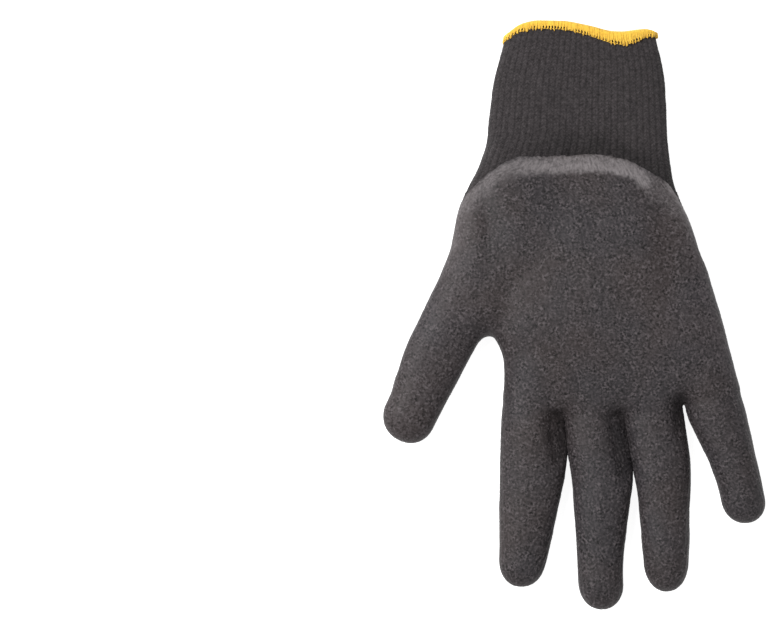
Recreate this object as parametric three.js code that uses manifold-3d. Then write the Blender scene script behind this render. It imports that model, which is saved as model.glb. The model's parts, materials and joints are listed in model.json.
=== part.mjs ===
// A right-hand latex coated grip glove, lying palm up on its knitted back.
// The cuff points to +Y, the fingertips to -Y, the thumb to -X and the coated palm to +Z.
// The origin is the centre of the glove's footprint, on the surface that it lies on. Sizes are in millimetres.
import * as THREE from "three";
import { mergeVertices } from "three/addons/utils/BufferGeometryUtils.js";
import Module from "manifold-3d";

// Walls and clearances
const knitWall = 1.4; // the plain knit of the hand and the finger stalls
const cuffWall = 1.7; // the thicker rib knit
const latexThickness = 1;
const seamGap = 0.3; // clearance between pieces that meet
const restDepth = 1.2; // how much of the soft back is pressed flat where it lies

// Cuff and hem
const cuffLength = 67;
const cuffWidth = 78;
const cuffDepth = 15.5;
const ribCount = 60;
const ribDepth = 0.4;
const hemHeight = 3.8;
const hemThickness = 2.8;
const hemWaveHeight = 5.4;

// Palm
const palmLength = 93;
const palmWidth = 98;
const palmDepth = 25;

// Fingers. A row has its root's place across and its widths as shares of palmWidth, its length as a share of
// middleFingerLength, its lean in degrees, its sideways bow and its tip's height as shares of fingerDepth,
// and the shares of its length between which it narrows.
const middleFingerLength = 84.3;
const fingerDepth = 18;
const padDepth = 14.5; // thickness near the tip
const stallRoot = 3; // where a stall begins past the bottom of the gap between two fingers
const knuckleLine = 42; // from the glove's middle down to the gaps between the fingers
const fingers = [
  { name: "index_stall", root: -0.19, long: 0.89, lean: -4, bow: 0.067, wide: 0.267, pad: 0.171, from: 0.3, to: 0.9, tip: 0.178 },
  { name: "middle_stall", root: 0.096, long: 1, lean: 0.5, bow: 0.056, wide: 0.257, pad: 0.165, from: 0.24, to: 0.82, tip: 0.144 },
  { name: "ring_stall", root: 0.367, long: 0.909, lean: 2.4, bow: 0.044, wide: 0.22, pad: 0.159, from: 0.34, to: 0.9, tip: 0.167 },
  { name: "little_stall", root: 0.621, long: 0.587, lean: 16.8, bow: 0.044, wide: 0.222, pad: 0.161, from: 0, to: 0.68, tip: 0.222 },
];

// Thumb
const thumbReach = 124; // from the wrist, inside the palm, to the thumb's tip
const thumbWidth = 24.4;
const thumbDepth = 17;
const thumbRoll = 16; // degrees by which the pad of the thumb turns towards the fingers
const thumbLift = 4; // height of the thumb's underside at its tip
const thumbStart = { across: -0.245, above: 0.097 }; // shares of palmWidth, and of palmLength above the wrist

// Latex coating
const coatSideLine = 0.44; // height of the coating's edge along the palm's sides, as a share of its thickness
const thumbCoatRoll = 20; // degrees by which the thumb's coating is turned towards the fingers
const coatWristEdge = 69.5; // from the glove's middle up to the coating's edge on the wrist
const coatCornerDrop = 26; // how far that edge falls away at the two sides
const coatCapLength = 21; // how far the coating reaches back over a fingertip
const coatCapSlope = 6; // length over which it runs from the side line round to the back

// Sections of the cuff: along from wrist to mouth as a share of its length, edges of its width, heights of its depth
const cuffSections = [
  { along: 0.0, left: -0.615, right: 0.563, base: 0, deep: 1.2 },
  { along: 0.1, left: -0.573, right: 0.545, base: 0, deep: 1.16 },
  { along: 0.25, left: -0.518, right: 0.519, base: 0, deep: 1.05 },
  { along: 0.45, left: -0.487, right: 0.504, base: 0, deep: 1.0 },
  { along: 0.72, left: -0.458, right: 0.494, base: 0, deep: 0.98 },
  { along: 0.9, left: -0.418, right: 0.474, base: 0.012, deep: 0.93 },
  { along: 1.0, left: -0.398, right: 0.446, base: 0.023, deep: 0.9 },
];

// Sections of the palm: along from wrist to knuckle line as a share of its length, edges of its width, heights of its depth
const palmSections = [
  { along: 0.0, left: -0.489, right: 0.448, base: 0, deep: 0.744 },
  { along: 0.12, left: -0.46, right: 0.508, base: 0, deep: 0.87 },
  { along: 0.28, left: -0.4, right: 0.549, base: 0, deep: 0.98 },
  { along: 0.48, left: -0.341, right: 0.608, base: 0, deep: 1.0 },
  { along: 0.68, left: -0.313, right: 0.66, base: 0, deep: 0.94 },
  { along: 0.87, left: -0.302, right: 0.708, base: 0, deep: 0.83 },
  { along: 0.94, left: -0.3, right: 0.71, base: 0.07, deep: 0.64 },
  { along: 1.0, left: -0.28, right: 0.7, base: 0.2, deep: 0.32 },
];

// Soft folds in the palm's upper side, in shares of its length and width: where each runs, how wide and how deep
const foldDepth = 1.6;
const foldSpread = 7;
const sinkFloor = 12; // only the upper side, above this height, has folds
const palmFolds = [
  { name: "thumb_ball_crease", fromAlong: 0.24, fromAcross: -0.29, toAlong: 0.62, toAcross: -0.22, deep: 1 },
  { name: "outer_edge_crease", fromAlong: 0.22, fromAcross: 0.35, toAlong: 0.5, toAcross: 0.44, deep: 0.7 },
  { name: "index_middle_hollow", fromAlong: 0.86, fromAcross: -0.05, toAlong: 1.0, toAcross: -0.06, deep: 1 },
  { name: "middle_ring_hollow", fromAlong: 0.86, fromAcross: 0.235, toAlong: 1.0, toAcross: 0.235, deep: 1 },
];

// Sections of a finger: along from root to tip as a share of its length, and how far it has risen to its tip's height
const fingerSections = [
  { along: -0.3, lift: 0 },
  { along: 0.0, lift: 0 },
  { along: 0.24, lift: 0.03 },
  { along: 0.46, lift: 0.17 },
  { along: 0.7, lift: 0.55 },
];

// Sections of the thumb, from inside the palm: its centre out and down as shares of thumbReach
const thumbSections = [
  { out: 0.0, down: 0.0, wide: 1.38, deep: 0.86, lift: 0 },
  { out: 0.034, down: 0.101, wide: 1.54, deep: 1.16, lift: 0 },
  { out: 0.073, down: 0.198, wide: 1.52, deep: 1.3, lift: 0 },
  { out: 0.11, down: 0.307, wide: 1.39, deep: 1.32, lift: 0.1 },
  { out: 0.17, down: 0.408, wide: 1.19, deep: 1.22, lift: 0.25 },
  { out: 0.236, down: 0.516, wide: 1.06, deep: 1.1, lift: 0.45, name: "stall_root" },
  { out: 0.346, down: 0.74, wide: 0.94, deep: 0.95, lift: 0.8 },
  { out: 0.379, down: 0.835, wide: 0.86, deep: 0.88, lift: 1 },
];

// Sections of the web between thumb and palm, in the same shares as the thumb's
const webSections = [
  { out: 0.07, down: 0.36, wide: 0.95, deep: 1.25, lift: 0 },
  { out: 0.085, down: 0.43, wide: 0.82, deep: 1.1, lift: 0.2 },
  { out: 0.094, down: 0.482, wide: 0.7, deep: 0.85, lift: 0.6 },
];

// The wave of the mouth, once round from the little-finger side over the palm: lift as a share of hemWaveHeight
const hemWave = [
  { around: 0.0, lift: 0.04 },
  { around: 0.04, lift: 0.35 },
  { around: 0.08, lift: 0.24 },
  { around: 0.12, lift: 0.04 },
  { around: 0.165, lift: 0.09 },
  { around: 0.215, lift: 0.48 },
  { around: 0.295, lift: 0.91 },
  { around: 0.4, lift: 1.0 },
  { around: 0.45, lift: 0.68 },
  { around: 0.485, lift: -0.1 },
  { around: 0.55, lift: -0.1 },
  { around: 0.65, lift: 0.15 },
  { around: 0.78, lift: 0.3 },
  { around: 0.9, lift: 0.15 },
];

// How the sections are cut into faces
const bodySides = 24;
const fingerSides = 12;
const spreadSteps = 1440;
const cuffInnerRows = [0, 2, 4, 6]; // the sections that the cuff's smooth inside passes through
const hemSides = 6;
const tipSteps = [0.45, 0.75, 0.94]; // places on the round of a tip, as shares of its radius
const sideLineShare = 0.46; // height of the widest line, as a share of the thickness
const bodySquareness = 2.8; // exponent of the oval: 2 is an ellipse
const fingerSquareness = 2.3;
const reachPast = 8; // how far a cutting shape runs past what it cuts
const farAway = 400;

const wasm = await Module();
wasm.setup();

// A closed three.js geometry as a solid that can be cut and joined.
function solidOf(geometry) {
  geometry.deleteAttribute("normal");
  geometry.deleteAttribute("uv");
  const merged = mergeVertices(geometry, 1e-4);
  return new wasm.Manifold(
    new wasm.Mesh({
      numProp: 3,
      vertProperties: merged.attributes.position.array,
      triVerts: new Uint32Array(merged.index.array),
    }),
  );
}

function geometryOf(solid) {
  const mesh = solid.getMesh();
  const geometry = new THREE.BufferGeometry();
  geometry.setAttribute("position", new THREE.BufferAttribute(new Float32Array(mesh.vertProperties), 3));
  geometry.setIndex(new THREE.BufferAttribute(new Uint32Array(mesh.triVerts), 1));
  geometry.computeVertexNormals();
  return geometry;
}

function joined(solids) {
  return solids.reduce((all, next) => all.add(next));
}

// A box given by its two corners, turned about Z and then moved.
function block(low, high, turn = 0, place = [0, 0, 0]) {
  const size = high.map((value, axis) => value - low[axis]);
  const geometry = new THREE.BoxGeometry(...size);
  geometry.translate(...low.map((value, axis) => value + size[axis] / 2));
  geometry.rotateZ(turn);
  geometry.translate(...place);
  return solidOf(geometry);
}

// A closed skin through rings of equal count, with a flat or pointed end at each side.
function skinThrough(rings, startPoint, endPoint, closedLoop = false) {
  const sides = rings[0].length;
  const points = rings.flat();
  const faces = [];
  const ringPairs = closedLoop ? rings.length : rings.length - 1;
  for (let row = 0; row < ringPairs; row++) {
    const here = row * sides;
    const next = ((row + 1) % rings.length) * sides;
    for (let side = 0; side < sides; side++) {
      const after = (side + 1) % sides;
      faces.push(here + side, here + after, next + after, here + side, next + after, next + side);
    }
  }
  if (!closedLoop) {
    const last = (rings.length - 1) * sides;
    points.push(startPoint, endPoint);
    for (let side = 0; side < sides; side++) {
      const after = (side + 1) % sides;
      faces.push(points.length - 2, after, side, points.length - 1, last + side, last + after);
    }
  }
  const geometry = new THREE.BufferGeometry().setFromPoints(points);
  geometry.setIndex(faces);
  return solidOf(geometry);
}

// Angles round a section's oval, spread evenly along its outline or, with less evenness, closer where it bends.
function spreadAngles(section, sides, squareness, evenness) {
  const power = 2 / squareness;
  const dense = Array.from({ length: spreadSteps + 1 }, (_, step) => {
    const angle = (2 * Math.PI * step) / spreadSteps;
    const [c, s] = [Math.cos(angle), Math.sin(angle)];
    const tall = s > 0 ? section.up : section.down;
    return [section.half * Math.sign(c) * Math.abs(c) ** power, tall * Math.sign(s) * Math.abs(s) ** power];
  });
  const steps = dense.slice(1).map((point, step) => [point[0] - dense[step][0], point[1] - dense[step][1]]);
  const lengths = steps.map((step) => Math.hypot(...step));
  const turns = steps.map((step, index) => {
    const before = steps[(index + steps.length - 1) % steps.length];
    return Math.abs(Math.atan2(before[0] * step[1] - before[1] * step[0], before[0] * step[0] + before[1] * step[1]));
  });
  const [allLength, allTurn] = [lengths, turns].map((list) => list.reduce((sum, value) => sum + value));
  let [gone, index] = [0, 0];
  return Array.from({ length: sides }, (_, side) => {
    for (; index < spreadSteps; index++) {
      const part = (evenness * lengths[index]) / allLength + ((1 - evenness) * turns[index]) / allTurn;
      if (gone + part > side / sides) break;
      gone += part;
    }
    return (2 * Math.PI * index) / spreadSteps;
  });
}

// One oval ring. A section has its centre x, y, its side line's height z, half width, up, down, heading and roll.
function ovalRing(section, grow, sides, squareness, shape = {}) {
  const across = new THREE.Vector3(-Math.sin(section.heading), Math.cos(section.heading), 0);
  const roll = section.roll ?? 0;
  const level = across.clone().multiplyScalar(Math.cos(roll)).add(new THREE.Vector3(0, 0, Math.sin(roll)));
  const upward = across.clone().multiplyScalar(-Math.sin(roll)).add(new THREE.Vector3(0, 0, Math.cos(roll)));
  const power = 2 / squareness;
  return spreadAngles(section, sides, squareness, shape.evenness ?? 0.45).map((angle, side) => {
    const [c, s] = [Math.cos(angle), Math.sin(angle)];
    const dent = shape.dent ? shape.dent(side) : 0;
    const wide = (section.half + grow - dent) * Math.sign(c) * Math.abs(c) ** power;
    const tall = ((s > 0 ? section.up : section.down) + grow - dent) * Math.sign(s) * Math.abs(s) ** power;
    const point = new THREE.Vector3(section.x, section.y, section.z);
    point.addScaledVector(level, wide).addScaledVector(upward, tall);
    if (shape.shift) point.y += shape.shift(side / sides);
    return point;
  });
}

// Headings of a row of sections, each from the one before it to the one after it.
function withHeadings(sections) {
  return sections.map((section, row) => {
    const before = sections[Math.max(row - 1, 0)];
    const after = sections[Math.min(row + 1, sections.length - 1)];
    return { ...section, heading: Math.atan2(after.y - before.y, after.x - before.x) };
  });
}

// A tube that ends in a round tip, which starts at its last section.
function stallTube(sections, grow) {
  const last = sections.at(-1);
  const radius = last.half + grow;
  const ahead = (share) => ({
    x: last.x + Math.cos(last.heading) * radius * share,
    y: last.y + Math.sin(last.heading) * radius * share,
  });
  const tip = tipSteps.map((share) => {
    const shrink = Math.sqrt(1 - share * share);
    return {
      ...last,
      ...ahead(share),
      half: (last.half + grow) * shrink - grow,
      up: (last.up + grow) * shrink - grow,
      down: (last.down + grow) * shrink - grow,
    };
  });
  const rings = [...sections, ...tip].map((section) => ovalRing(section, grow, fingerSides, fingerSquareness));
  const end = ahead(1);
  const first = sections[0];
  return skinThrough(
    rings,
    new THREE.Vector3(first.x, first.y, first.z),
    new THREE.Vector3(end.x, end.y, last.z),
  );
}

const wristY = palmLength - knuckleLine;
const mouthY = wristY + cuffLength;
const stallHeight = (deep, base) => ({
  z: base + deep * sideLineShare,
  up: deep * (1 - sideLineShare),
  down: deep * sideLineShare,
});

function edgeSection(left, right, y, deep, base) {
  const pressed = base > 0 ? 0 : restDepth;
  return {
    x: (left + right) / 2,
    y,
    half: (right - left) / 2,
    ...stallHeight(deep + pressed, base - pressed),
    heading: -Math.PI / 2,
  };
}

const cuffRows = cuffSections.map((row) =>
  edgeSection(
    row.left * cuffWidth,
    row.right * cuffWidth,
    wristY + row.along * cuffLength,
    row.deep * cuffDepth,
    row.base * cuffDepth,
  ),
);
const palmRows = palmSections.map((row) =>
  edgeSection(
    row.left * palmWidth,
    row.right * palmWidth,
    wristY - row.along * palmLength,
    row.deep * palmDepth,
    row.base * palmDepth,
  ),
);

// How far the folds let the palm's upper side sink at a place seen from above.
function foldSink(x, y) {
  return palmFolds.reduce((sink, fold) => {
    const from = new THREE.Vector2(fold.fromAcross * palmWidth, wristY - fold.fromAlong * palmLength);
    const run = new THREE.Vector2(fold.toAcross * palmWidth, wristY - fold.toAlong * palmLength).sub(from);
    const offset = new THREE.Vector2(x, y).sub(from);
    const share = THREE.MathUtils.clamp(offset.dot(run) / run.lengthSq(), 0, 1);
    const away = offset.addScaledVector(run, -share).length() / foldSpread;
    return sink + foldDepth * fold.deep * Math.exp(-away * away);
  }, 0);
}

// The hand's body runs from the mouth down to the knuckle line; the wrist row is shared by cuff and palm.
function bodyTube(grow, pastMouth = 0) {
  const cuffDown = cuffRows.slice(1).reverse();
  const rows = [...cuffDown, ...palmRows];
  if (pastMouth) rows.unshift({ ...rows[0], y: rows[0].y + pastMouth });
  const rings = rows.map((row) => ovalRing(row, grow, bodySides, bodySquareness));
  for (const point of rings.flat()) if (point.z > sinkFloor) point.z -= foldSink(point.x, point.y);
  const ends = [rows[0], rows.at(-1)].map((row) => new THREE.Vector3(row.x, row.y, row.z));
  return skinThrough(rings, ends[0], ends[1]);
}

function fingerRows(finger) {
  const lean = THREE.MathUtils.degToRad(finger.lean);
  const length = finger.long * middleFingerLength;
  const straight = length - (finger.pad * palmWidth) / 2;
  const rows = [...fingerSections, { along: straight / length, lift: 1 }].map((row) => {
    const far = row.along * length;
    const taper = THREE.MathUtils.clamp((row.along - finger.from) / (finger.to - finger.from), 0, 1);
    const width = THREE.MathUtils.lerp(finger.wide, finger.pad, taper) * palmWidth;
    const aside = finger.bow * fingerDepth * 4 * Math.max(row.along, 0) * (1 - row.along);
    const deep = THREE.MathUtils.lerp(fingerDepth, padDepth, Math.max(row.along, 0));
    const base = row.lift * finger.tip * fingerDepth - restDepth * (1 - row.lift);
    return {
      x: finger.root * palmWidth + Math.sin(lean) * far + aside,
      y: -knuckleLine - Math.cos(lean) * far,
      half: width / 2,
      ...stallHeight(deep - Math.min(base, 0), base),
    };
  });
  return withHeadings(rows);
}

const rowsFromWrist = (sections) =>
  withHeadings(sections.map((row) => {
    const base = row.lift * thumbLift;
    return {
      ...row,
      x: thumbStart.across * palmWidth - row.out * thumbReach,
      y: wristY + thumbStart.above * palmLength - row.down * thumbReach,
      half: (row.wide * thumbWidth) / 2,
      ...stallHeight(row.deep * thumbDepth, base),
      roll: THREE.MathUtils.degToRad(thumbRoll * row.lift),
    };
  }));
const thumbRows = rowsFromWrist(thumbSections);
const webRows = rowsFromWrist(webSections);

// Everything above a height, for pressing the underside flat.
function above(height) {
  return block([-farAway, -farAway, height], [farAway, farAway, farAway]);
}

// The whole glove as one solid form, its surface moved out by grow.
function gloveForm(grow, floorHeight, pastMouth = 0) {
  const stalls = fingers.map((finger) => stallTube(fingerRows(finger), grow));
  const form = joined([bodyTube(grow, pastMouth), stallTube(thumbRows, grow), stallTube(webRows, grow), ...stalls]);
  return form.intersect(above(floorHeight));
}

const outerForm = gloveForm(0, 0);
const cavity = gloveForm(-knitWall, knitWall, reachPast);
const handShell = outerForm.subtract(cavity);

// The part of the glove past a stall's root, as a box along the stall.
function stallBox(rows, rootX, rootY, halfWidth, spare) {
  const last = rows.at(-1);
  const heading = Math.atan2(last.y - rootY, last.x - rootX);
  const reach = Math.hypot(last.x - rootX, last.y - rootY) + last.half + reachPast;
  return block([-spare, -halfWidth - spare, -reachPast], [reach, halfWidth + spare, farAway], heading, [rootX, rootY, 0]);
}

// Where a stall starts: the place on its centre line that far down from its root.
function fingerStart(finger, far) {
  const lean = THREE.MathUtils.degToRad(finger.lean);
  return [finger.root * palmWidth + Math.sin(lean) * far, -knuckleLine - Math.cos(lean) * far];
}

const thumbCut = thumbRows.find((row) => row.name === "stall_root");
const halfGap = seamGap + latexThickness + seamGap / 2;
const stallBoxes = (spare) => [
  ...fingers.map((finger) => {
    const rows = fingerRows(finger);
    return stallBox(rows, ...fingerStart(finger, stallRoot), (finger.wide * palmWidth) / 2 + halfGap, spare);
  }),
  stallBox(thumbRows, thumbCut.x, thumbCut.y, thumbCut.half + halfGap, spare),
];
const stallNames = [...fingers.map((finger) => finger.name), "thumb_stall"];
const palmEnd = wristY - seamGap;
const belowWrist = block([-farAway, -farAway, -reachPast], [farAway, palmEnd, farAway]);

function largest(solid) {
  return solid.decompose().reduce((best, next) => (next.volume() > best.volume() ? next : best));
}

const stallSolids = stallBoxes(0).map((box) => largest(handShell.intersect(box)));
const palmSolid = largest(stallBoxes(seamGap).reduce((rest, box) => rest.subtract(box), handShell.intersect(belowWrist)));

// The lift of the mouth's edge at a share of the way round it, eased between the rows of the wave's table.
function mouthLift(around) {
  const after = hemWave.findIndex((row) => row.around > around);
  const high = after < 0 ? { around: 1, lift: hemWave[0].lift } : hemWave[after];
  const low = after < 0 ? hemWave.at(-1) : hemWave[after - 1];
  const share = THREE.MathUtils.smoothstep(around, low.around, high.around);
  return THREE.MathUtils.lerp(low.lift, high.lift, share) * hemWaveHeight;
}

// The rib cuff: two corners to each rib, a mouth that follows the wave, and an underside pressed flat.
function ribCuff() {
  const lastRow = cuffRows.length - 1;
  const dent = (side) => (side % 2 ? ribDepth : 0);
  const ringAt = (index, grow, floorHeight, ribbed) => {
    const share = Math.max(0, (2 * index) / lastRow - 1);
    const shift = (around) => mouthLift(around) * share * share;
    const shape = ribbed ? { dent, shift, evenness: 1 } : { shift, evenness: 1 };
    const ring = ovalRing(cuffRows[index], grow, ribCount * 2, bodySquareness, shape);
    for (const point of ring) point.z = Math.max(point.z, floorHeight);
    return ring;
  };
  const outside = cuffRows.map((_, index) => ringAt(index, 0, 0, true));
  const inside = cuffInnerRows.map((index) => ringAt(index, -cuffWall, cuffWall, false));
  return skinThrough([...inside.reverse(), ...outside].reverse(), null, null, true);
}

// The overlocked hem: a rounded band that sits on the cuff's wavy end.
function overlockHem() {
  const mouth = cuffRows.at(-1);
  const middle = -cuffWall / 2;
  const outline = ovalRing(mouth, middle, ribCount, bodySquareness, { shift: mouthLift, evenness: 1 });
  const centre = new THREE.Vector3(mouth.x, mouth.y, mouth.z);
  const rings = outline.map((point, step) => {
    const before = outline[(step + ribCount - 1) % ribCount];
    const after = outline[(step + 1) % ribCount];
    const along = new THREE.Vector3(after.x - before.x, 0, after.z - before.z).normalize();
    const outward = new THREE.Vector3(along.z, 0, -along.x);
    if (outward.dot(new THREE.Vector3(point.x - centre.x, 0, point.z - centre.z)) < 0) outward.negate();
    return Array.from({ length: hemSides }, (_, side) => {
      const angle = (2 * Math.PI * (side + 0.5)) / hemSides;
      const place = point.clone().addScaledVector(outward, (hemThickness / 2) * Math.cos(angle));
      place.y += seamGap + hemHeight / 2 + (hemHeight / 2) * Math.sin(angle);
      return place;
    });
  });
  return skinThrough(rings, null, null, true).intersect(above(0));
}

// The palm's coated part: all above the side line, up to an arch across the wrist.
function palmCoatRegion() {
  const low = coatWristEdge - coatCornerDrop;
  const [left, right] = [palmSections[0].left * palmWidth, palmSections[0].right * palmWidth];
  const arch = new THREE.Shape();
  arch.moveTo(-farAway, -farAway);
  arch.lineTo(farAway, -farAway);
  arch.lineTo(farAway, low - coatCornerDrop);
  arch.lineTo(right * 1.08, low);
  arch.quadraticCurveTo(right * 0.8, coatWristEdge, right * 0.4, coatWristEdge);
  arch.lineTo(left * 0.4, coatWristEdge);
  arch.quadraticCurveTo(left * 0.84, coatWristEdge, left * 1.04, low + coatCornerDrop * 0.12);
  arch.lineTo(-farAway, low - coatCornerDrop);
  const geometry = new THREE.ExtrudeGeometry(arch, { depth: farAway, bevelEnabled: false, curveSegments: 5 });
  geometry.translate(0, 0, coatSideLine * palmDepth);
  return solidOf(geometry);
}

// The slice of a stall that is coated, seen from its side: down to the side line, and lower towards the tip.
function capRegion(rows, startX, startY, halfWidth, roll = 0) {
  const last = rows.at(-1);
  const heading = Math.atan2(last.y - startY, last.x - startX);
  const reach = Math.hypot(last.x - startX, last.y - startY) + last.half;
  const profile = new THREE.Shape();
  profile.moveTo(-reachPast, rows[1].z);
  profile.lineTo(reach - coatCapLength - coatCapSlope, last.z);
  profile.lineTo(reach - coatCapLength, last.z - last.down - reachPast / 4);
  profile.lineTo(reach + reachPast, last.z - last.down - reachPast / 4);
  profile.lineTo(reach + reachPast, farAway);
  profile.lineTo(-reachPast, farAway);
  const geometry = new THREE.ExtrudeGeometry(profile, { depth: 2 * halfWidth, bevelEnabled: false });
  geometry.translate(0, 0, -halfWidth);
  geometry.rotateX(Math.PI / 2);
  geometry.translate(0, 0, -last.z);
  geometry.rotateX(-roll);
  geometry.translate(0, 0, last.z);
  geometry.rotateZ(heading);
  geometry.translate(startX, startY, 0);
  return solidOf(geometry);
}

function latexCoating() {
  const skin = gloveForm(seamGap + latexThickness, seamGap).subtract(gloveForm(seamGap, 0, reachPast));
  const caps = fingers.map((finger) =>
    capRegion(fingerRows(finger), ...fingerStart(finger, 0), (finger.wide * palmWidth) / 2 + halfGap),
  );
  const thumbTurn = THREE.MathUtils.degToRad(thumbCoatRoll);
  const thumbCap = capRegion(thumbRows, thumbCut.x, thumbCut.y, thumbCut.half + halfGap, thumbTurn);
  const palmPart = stallBoxes(0).reduce((rest, box) => rest.subtract(box), palmCoatRegion());
  return largest(skin.intersect(joined([palmPart, ...caps, thumbCap])));
}

const knitYarn = new THREE.MeshStandardMaterial({ color: "#403c3d", roughness: 0.95, metalness: 0 });
const ribYarn = new THREE.MeshStandardMaterial({ color: "#423e3f", roughness: 0.95, metalness: 0 });
const latexBlack = new THREE.MeshStandardMaterial({ color: "#4a4747", roughness: 0.7, metalness: 0 });
const hemThread = new THREE.MeshStandardMaterial({ color: "#f0c550", roughness: 0.8, metalness: 0 });

const pieces = [
  ["knit_palm", palmSolid, knitYarn],
  ...stallNames.map((name, index) => [name, stallSolids[index], knitYarn]),
  ["rib_cuff", ribCuff(), ribYarn],
  ["overlock_hem", overlockHem(), hemThread],
  ["latex_coating", latexCoating(), latexBlack],
];

const glove = new THREE.Group();
for (const [name, solid, material] of pieces) {
  const mesh = new THREE.Mesh(geometryOf(solid), material);
  mesh.name = name;
  glove.add(mesh);
}

// Centre the footprint on the origin, with the lowest point at height 0.
const reach = new THREE.Box3().setFromObject(glove, true);
const middlePoint = reach.getCenter(new THREE.Vector3());
for (const mesh of glove.children) mesh.position.set(-middlePoint.x, -middlePoint.y, -reach.min.z);

export default glove;
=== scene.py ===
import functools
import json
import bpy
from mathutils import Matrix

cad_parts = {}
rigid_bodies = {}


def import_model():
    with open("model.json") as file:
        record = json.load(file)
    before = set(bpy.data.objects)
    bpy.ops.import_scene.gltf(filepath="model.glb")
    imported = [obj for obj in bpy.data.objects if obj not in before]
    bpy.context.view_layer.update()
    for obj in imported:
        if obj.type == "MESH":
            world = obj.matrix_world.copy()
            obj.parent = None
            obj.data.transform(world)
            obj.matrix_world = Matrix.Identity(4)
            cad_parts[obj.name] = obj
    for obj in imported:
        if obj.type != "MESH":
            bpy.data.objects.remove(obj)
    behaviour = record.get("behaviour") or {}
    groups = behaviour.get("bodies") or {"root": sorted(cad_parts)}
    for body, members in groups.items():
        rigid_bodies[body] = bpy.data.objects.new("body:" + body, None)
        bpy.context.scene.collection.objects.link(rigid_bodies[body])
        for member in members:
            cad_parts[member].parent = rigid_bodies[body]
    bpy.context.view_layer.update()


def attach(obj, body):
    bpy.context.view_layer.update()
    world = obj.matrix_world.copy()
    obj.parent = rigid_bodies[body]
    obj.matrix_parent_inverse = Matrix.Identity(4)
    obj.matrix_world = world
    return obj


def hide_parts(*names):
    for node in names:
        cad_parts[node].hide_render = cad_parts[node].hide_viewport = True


bl_info = {
    "name": "Latex coated grip glove",
    "version": (1, 0, 0),
    "blender": (4, 5, 0),
    "location": "3D View > Sidebar > Grip Glove",
    "description": "Dresses a knitted work glove with its crinkled latex palm, rib cuff and overlocked hem",
    "category": "Add Mesh",
}

import bpy
import numpy as np
import openvdb
from bpy.props import FloatProperty, FloatVectorProperty, IntProperty, PointerProperty

for stray in list(bpy.data.objects):
    bpy.data.objects.remove(stray)

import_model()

MM = 0.001

# The hand's shape, in millimetres. X runs from the thumb to the little finger, Y from the fingertips
# to the cuff, Z up from the table.
# Rows: y, left edge, right edge, underside, top, measured on the outer surface of the knit.
BODY_ROWS = (
    (132.0, -28.4, 33.8, 0.6, 13.8),
    (124.0, -28.8, 34.3, 0.5, 14.0),
    (117.0, -31.0, 35.9, 0.3, 14.3),
    (109.0, -33.3, 38.2, 0.1, 14.8),
    (102.0, -35.3, 39.0, 0.0, 15.1),
    (95.5, -36.1, 39.4, 0.0, 15.3),
    (88.5, -36.8, 39.8, 0.0, 15.4),
    (81.6, -37.5, 39.9, 0.0, 15.6),
    (74.7, -38.0, 40.5, 0.0, 16.0),
    (67.8, -38.8, 41.2, 0.0, 16.6),
    (57.4, -39.5, 42.6, 0.0, 17.9),
    (50.5, -39.3, 44.9, 0.0, 19.0),
    (40.0, -38.0, 49.8, 0.0, 21.6),
    (26.0, -36.6, 53.7, 0.0, 24.0),
    (12.0, -34.6, 58.2, 0.0, 24.9),
    (-1.4, -34.6, 62.2, 0.0, 24.4),
    (-9.0, -34.0, 64.2, 0.1, 23.7),
    (-13.0, -32.2, 65.2, 0.2, 23.2),
    (-17.0, -30.0, 66.2, 0.2, 22.6),
    (-29.0, -29.4, 69.1, 0.4, 20.6),
    (-42.0, -29.8, 72.1, 0.8, 17.0),
)
# Where the palm ends between the fingers: x, distance towards the fingertips.
PALM_END = ((-32.0, 34.0), (-6.0, 36.0), (22.0, 36.0), (34.0, 35.0), (46.0, 30.2), (60.0, 30.0), (74.0, 30.5))
# Rows: y, centre, half width, underside, top.
INDEX_ROWS = (
    (0.0, -17.0, 8.0, 3.0, 15.0),
    (-20.0, -17.4, 9.6, 0.6, 19.0),
    (-30.0, -17.6, 10.2, 0.2, 18.6),
    (-40.0, -18.3, 12.2, 0.0, 18.2),
    (-52.0, -17.7, 13.4, 0.0, 17.8),
    (-58.0, -17.5, 13.9, 0.0, 17.5),
    (-63.7, -17.9, 13.6, 0.0, 17.2),
    (-70.6, -18.4, 13.2, 0.0, 16.8),
    (-81.0, -19.6, 12.0, 0.2, 16.2),
    (-91.4, -20.7, 11.0, 0.5, 15.7),
    (-101.8, -21.9, 9.9, 0.9, 15.2),
    (-108.7, -22.8, 9.2, 1.2, 14.8),
    (-120.0, -23.2, 9.0, 1.5, 14.4),
)
MIDDLE_ROWS = (
    (0.0, 9.0, 8.0, 3.0, 15.0),
    (-20.0, 8.6, 11.0, 0.6, 19.4),
    (-41.0, 8.0, 12.4, 0.0, 18.2),
    (-52.0, 9.7, 12.8, 0.0, 17.8),
    (-58.0, 10.3, 13.2, 0.0, 17.5),
    (-63.7, 11.4, 12.9, 0.0, 17.2),
    (-74.0, 12.1, 12.2, 0.0, 16.7),
    (-84.4, 11.6, 11.1, 0.2, 16.2),
    (-94.8, 11.2, 10.1, 0.5, 15.7),
    (-105.2, 11.1, 9.1, 0.9, 15.2),
    (-115.6, 11.2, 8.5, 1.2, 14.8),
    (-119.5, 11.6, 8.9, 1.3, 14.6),
    (-130.0, 11.9, 9.0, 1.5, 14.4),
)
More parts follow.
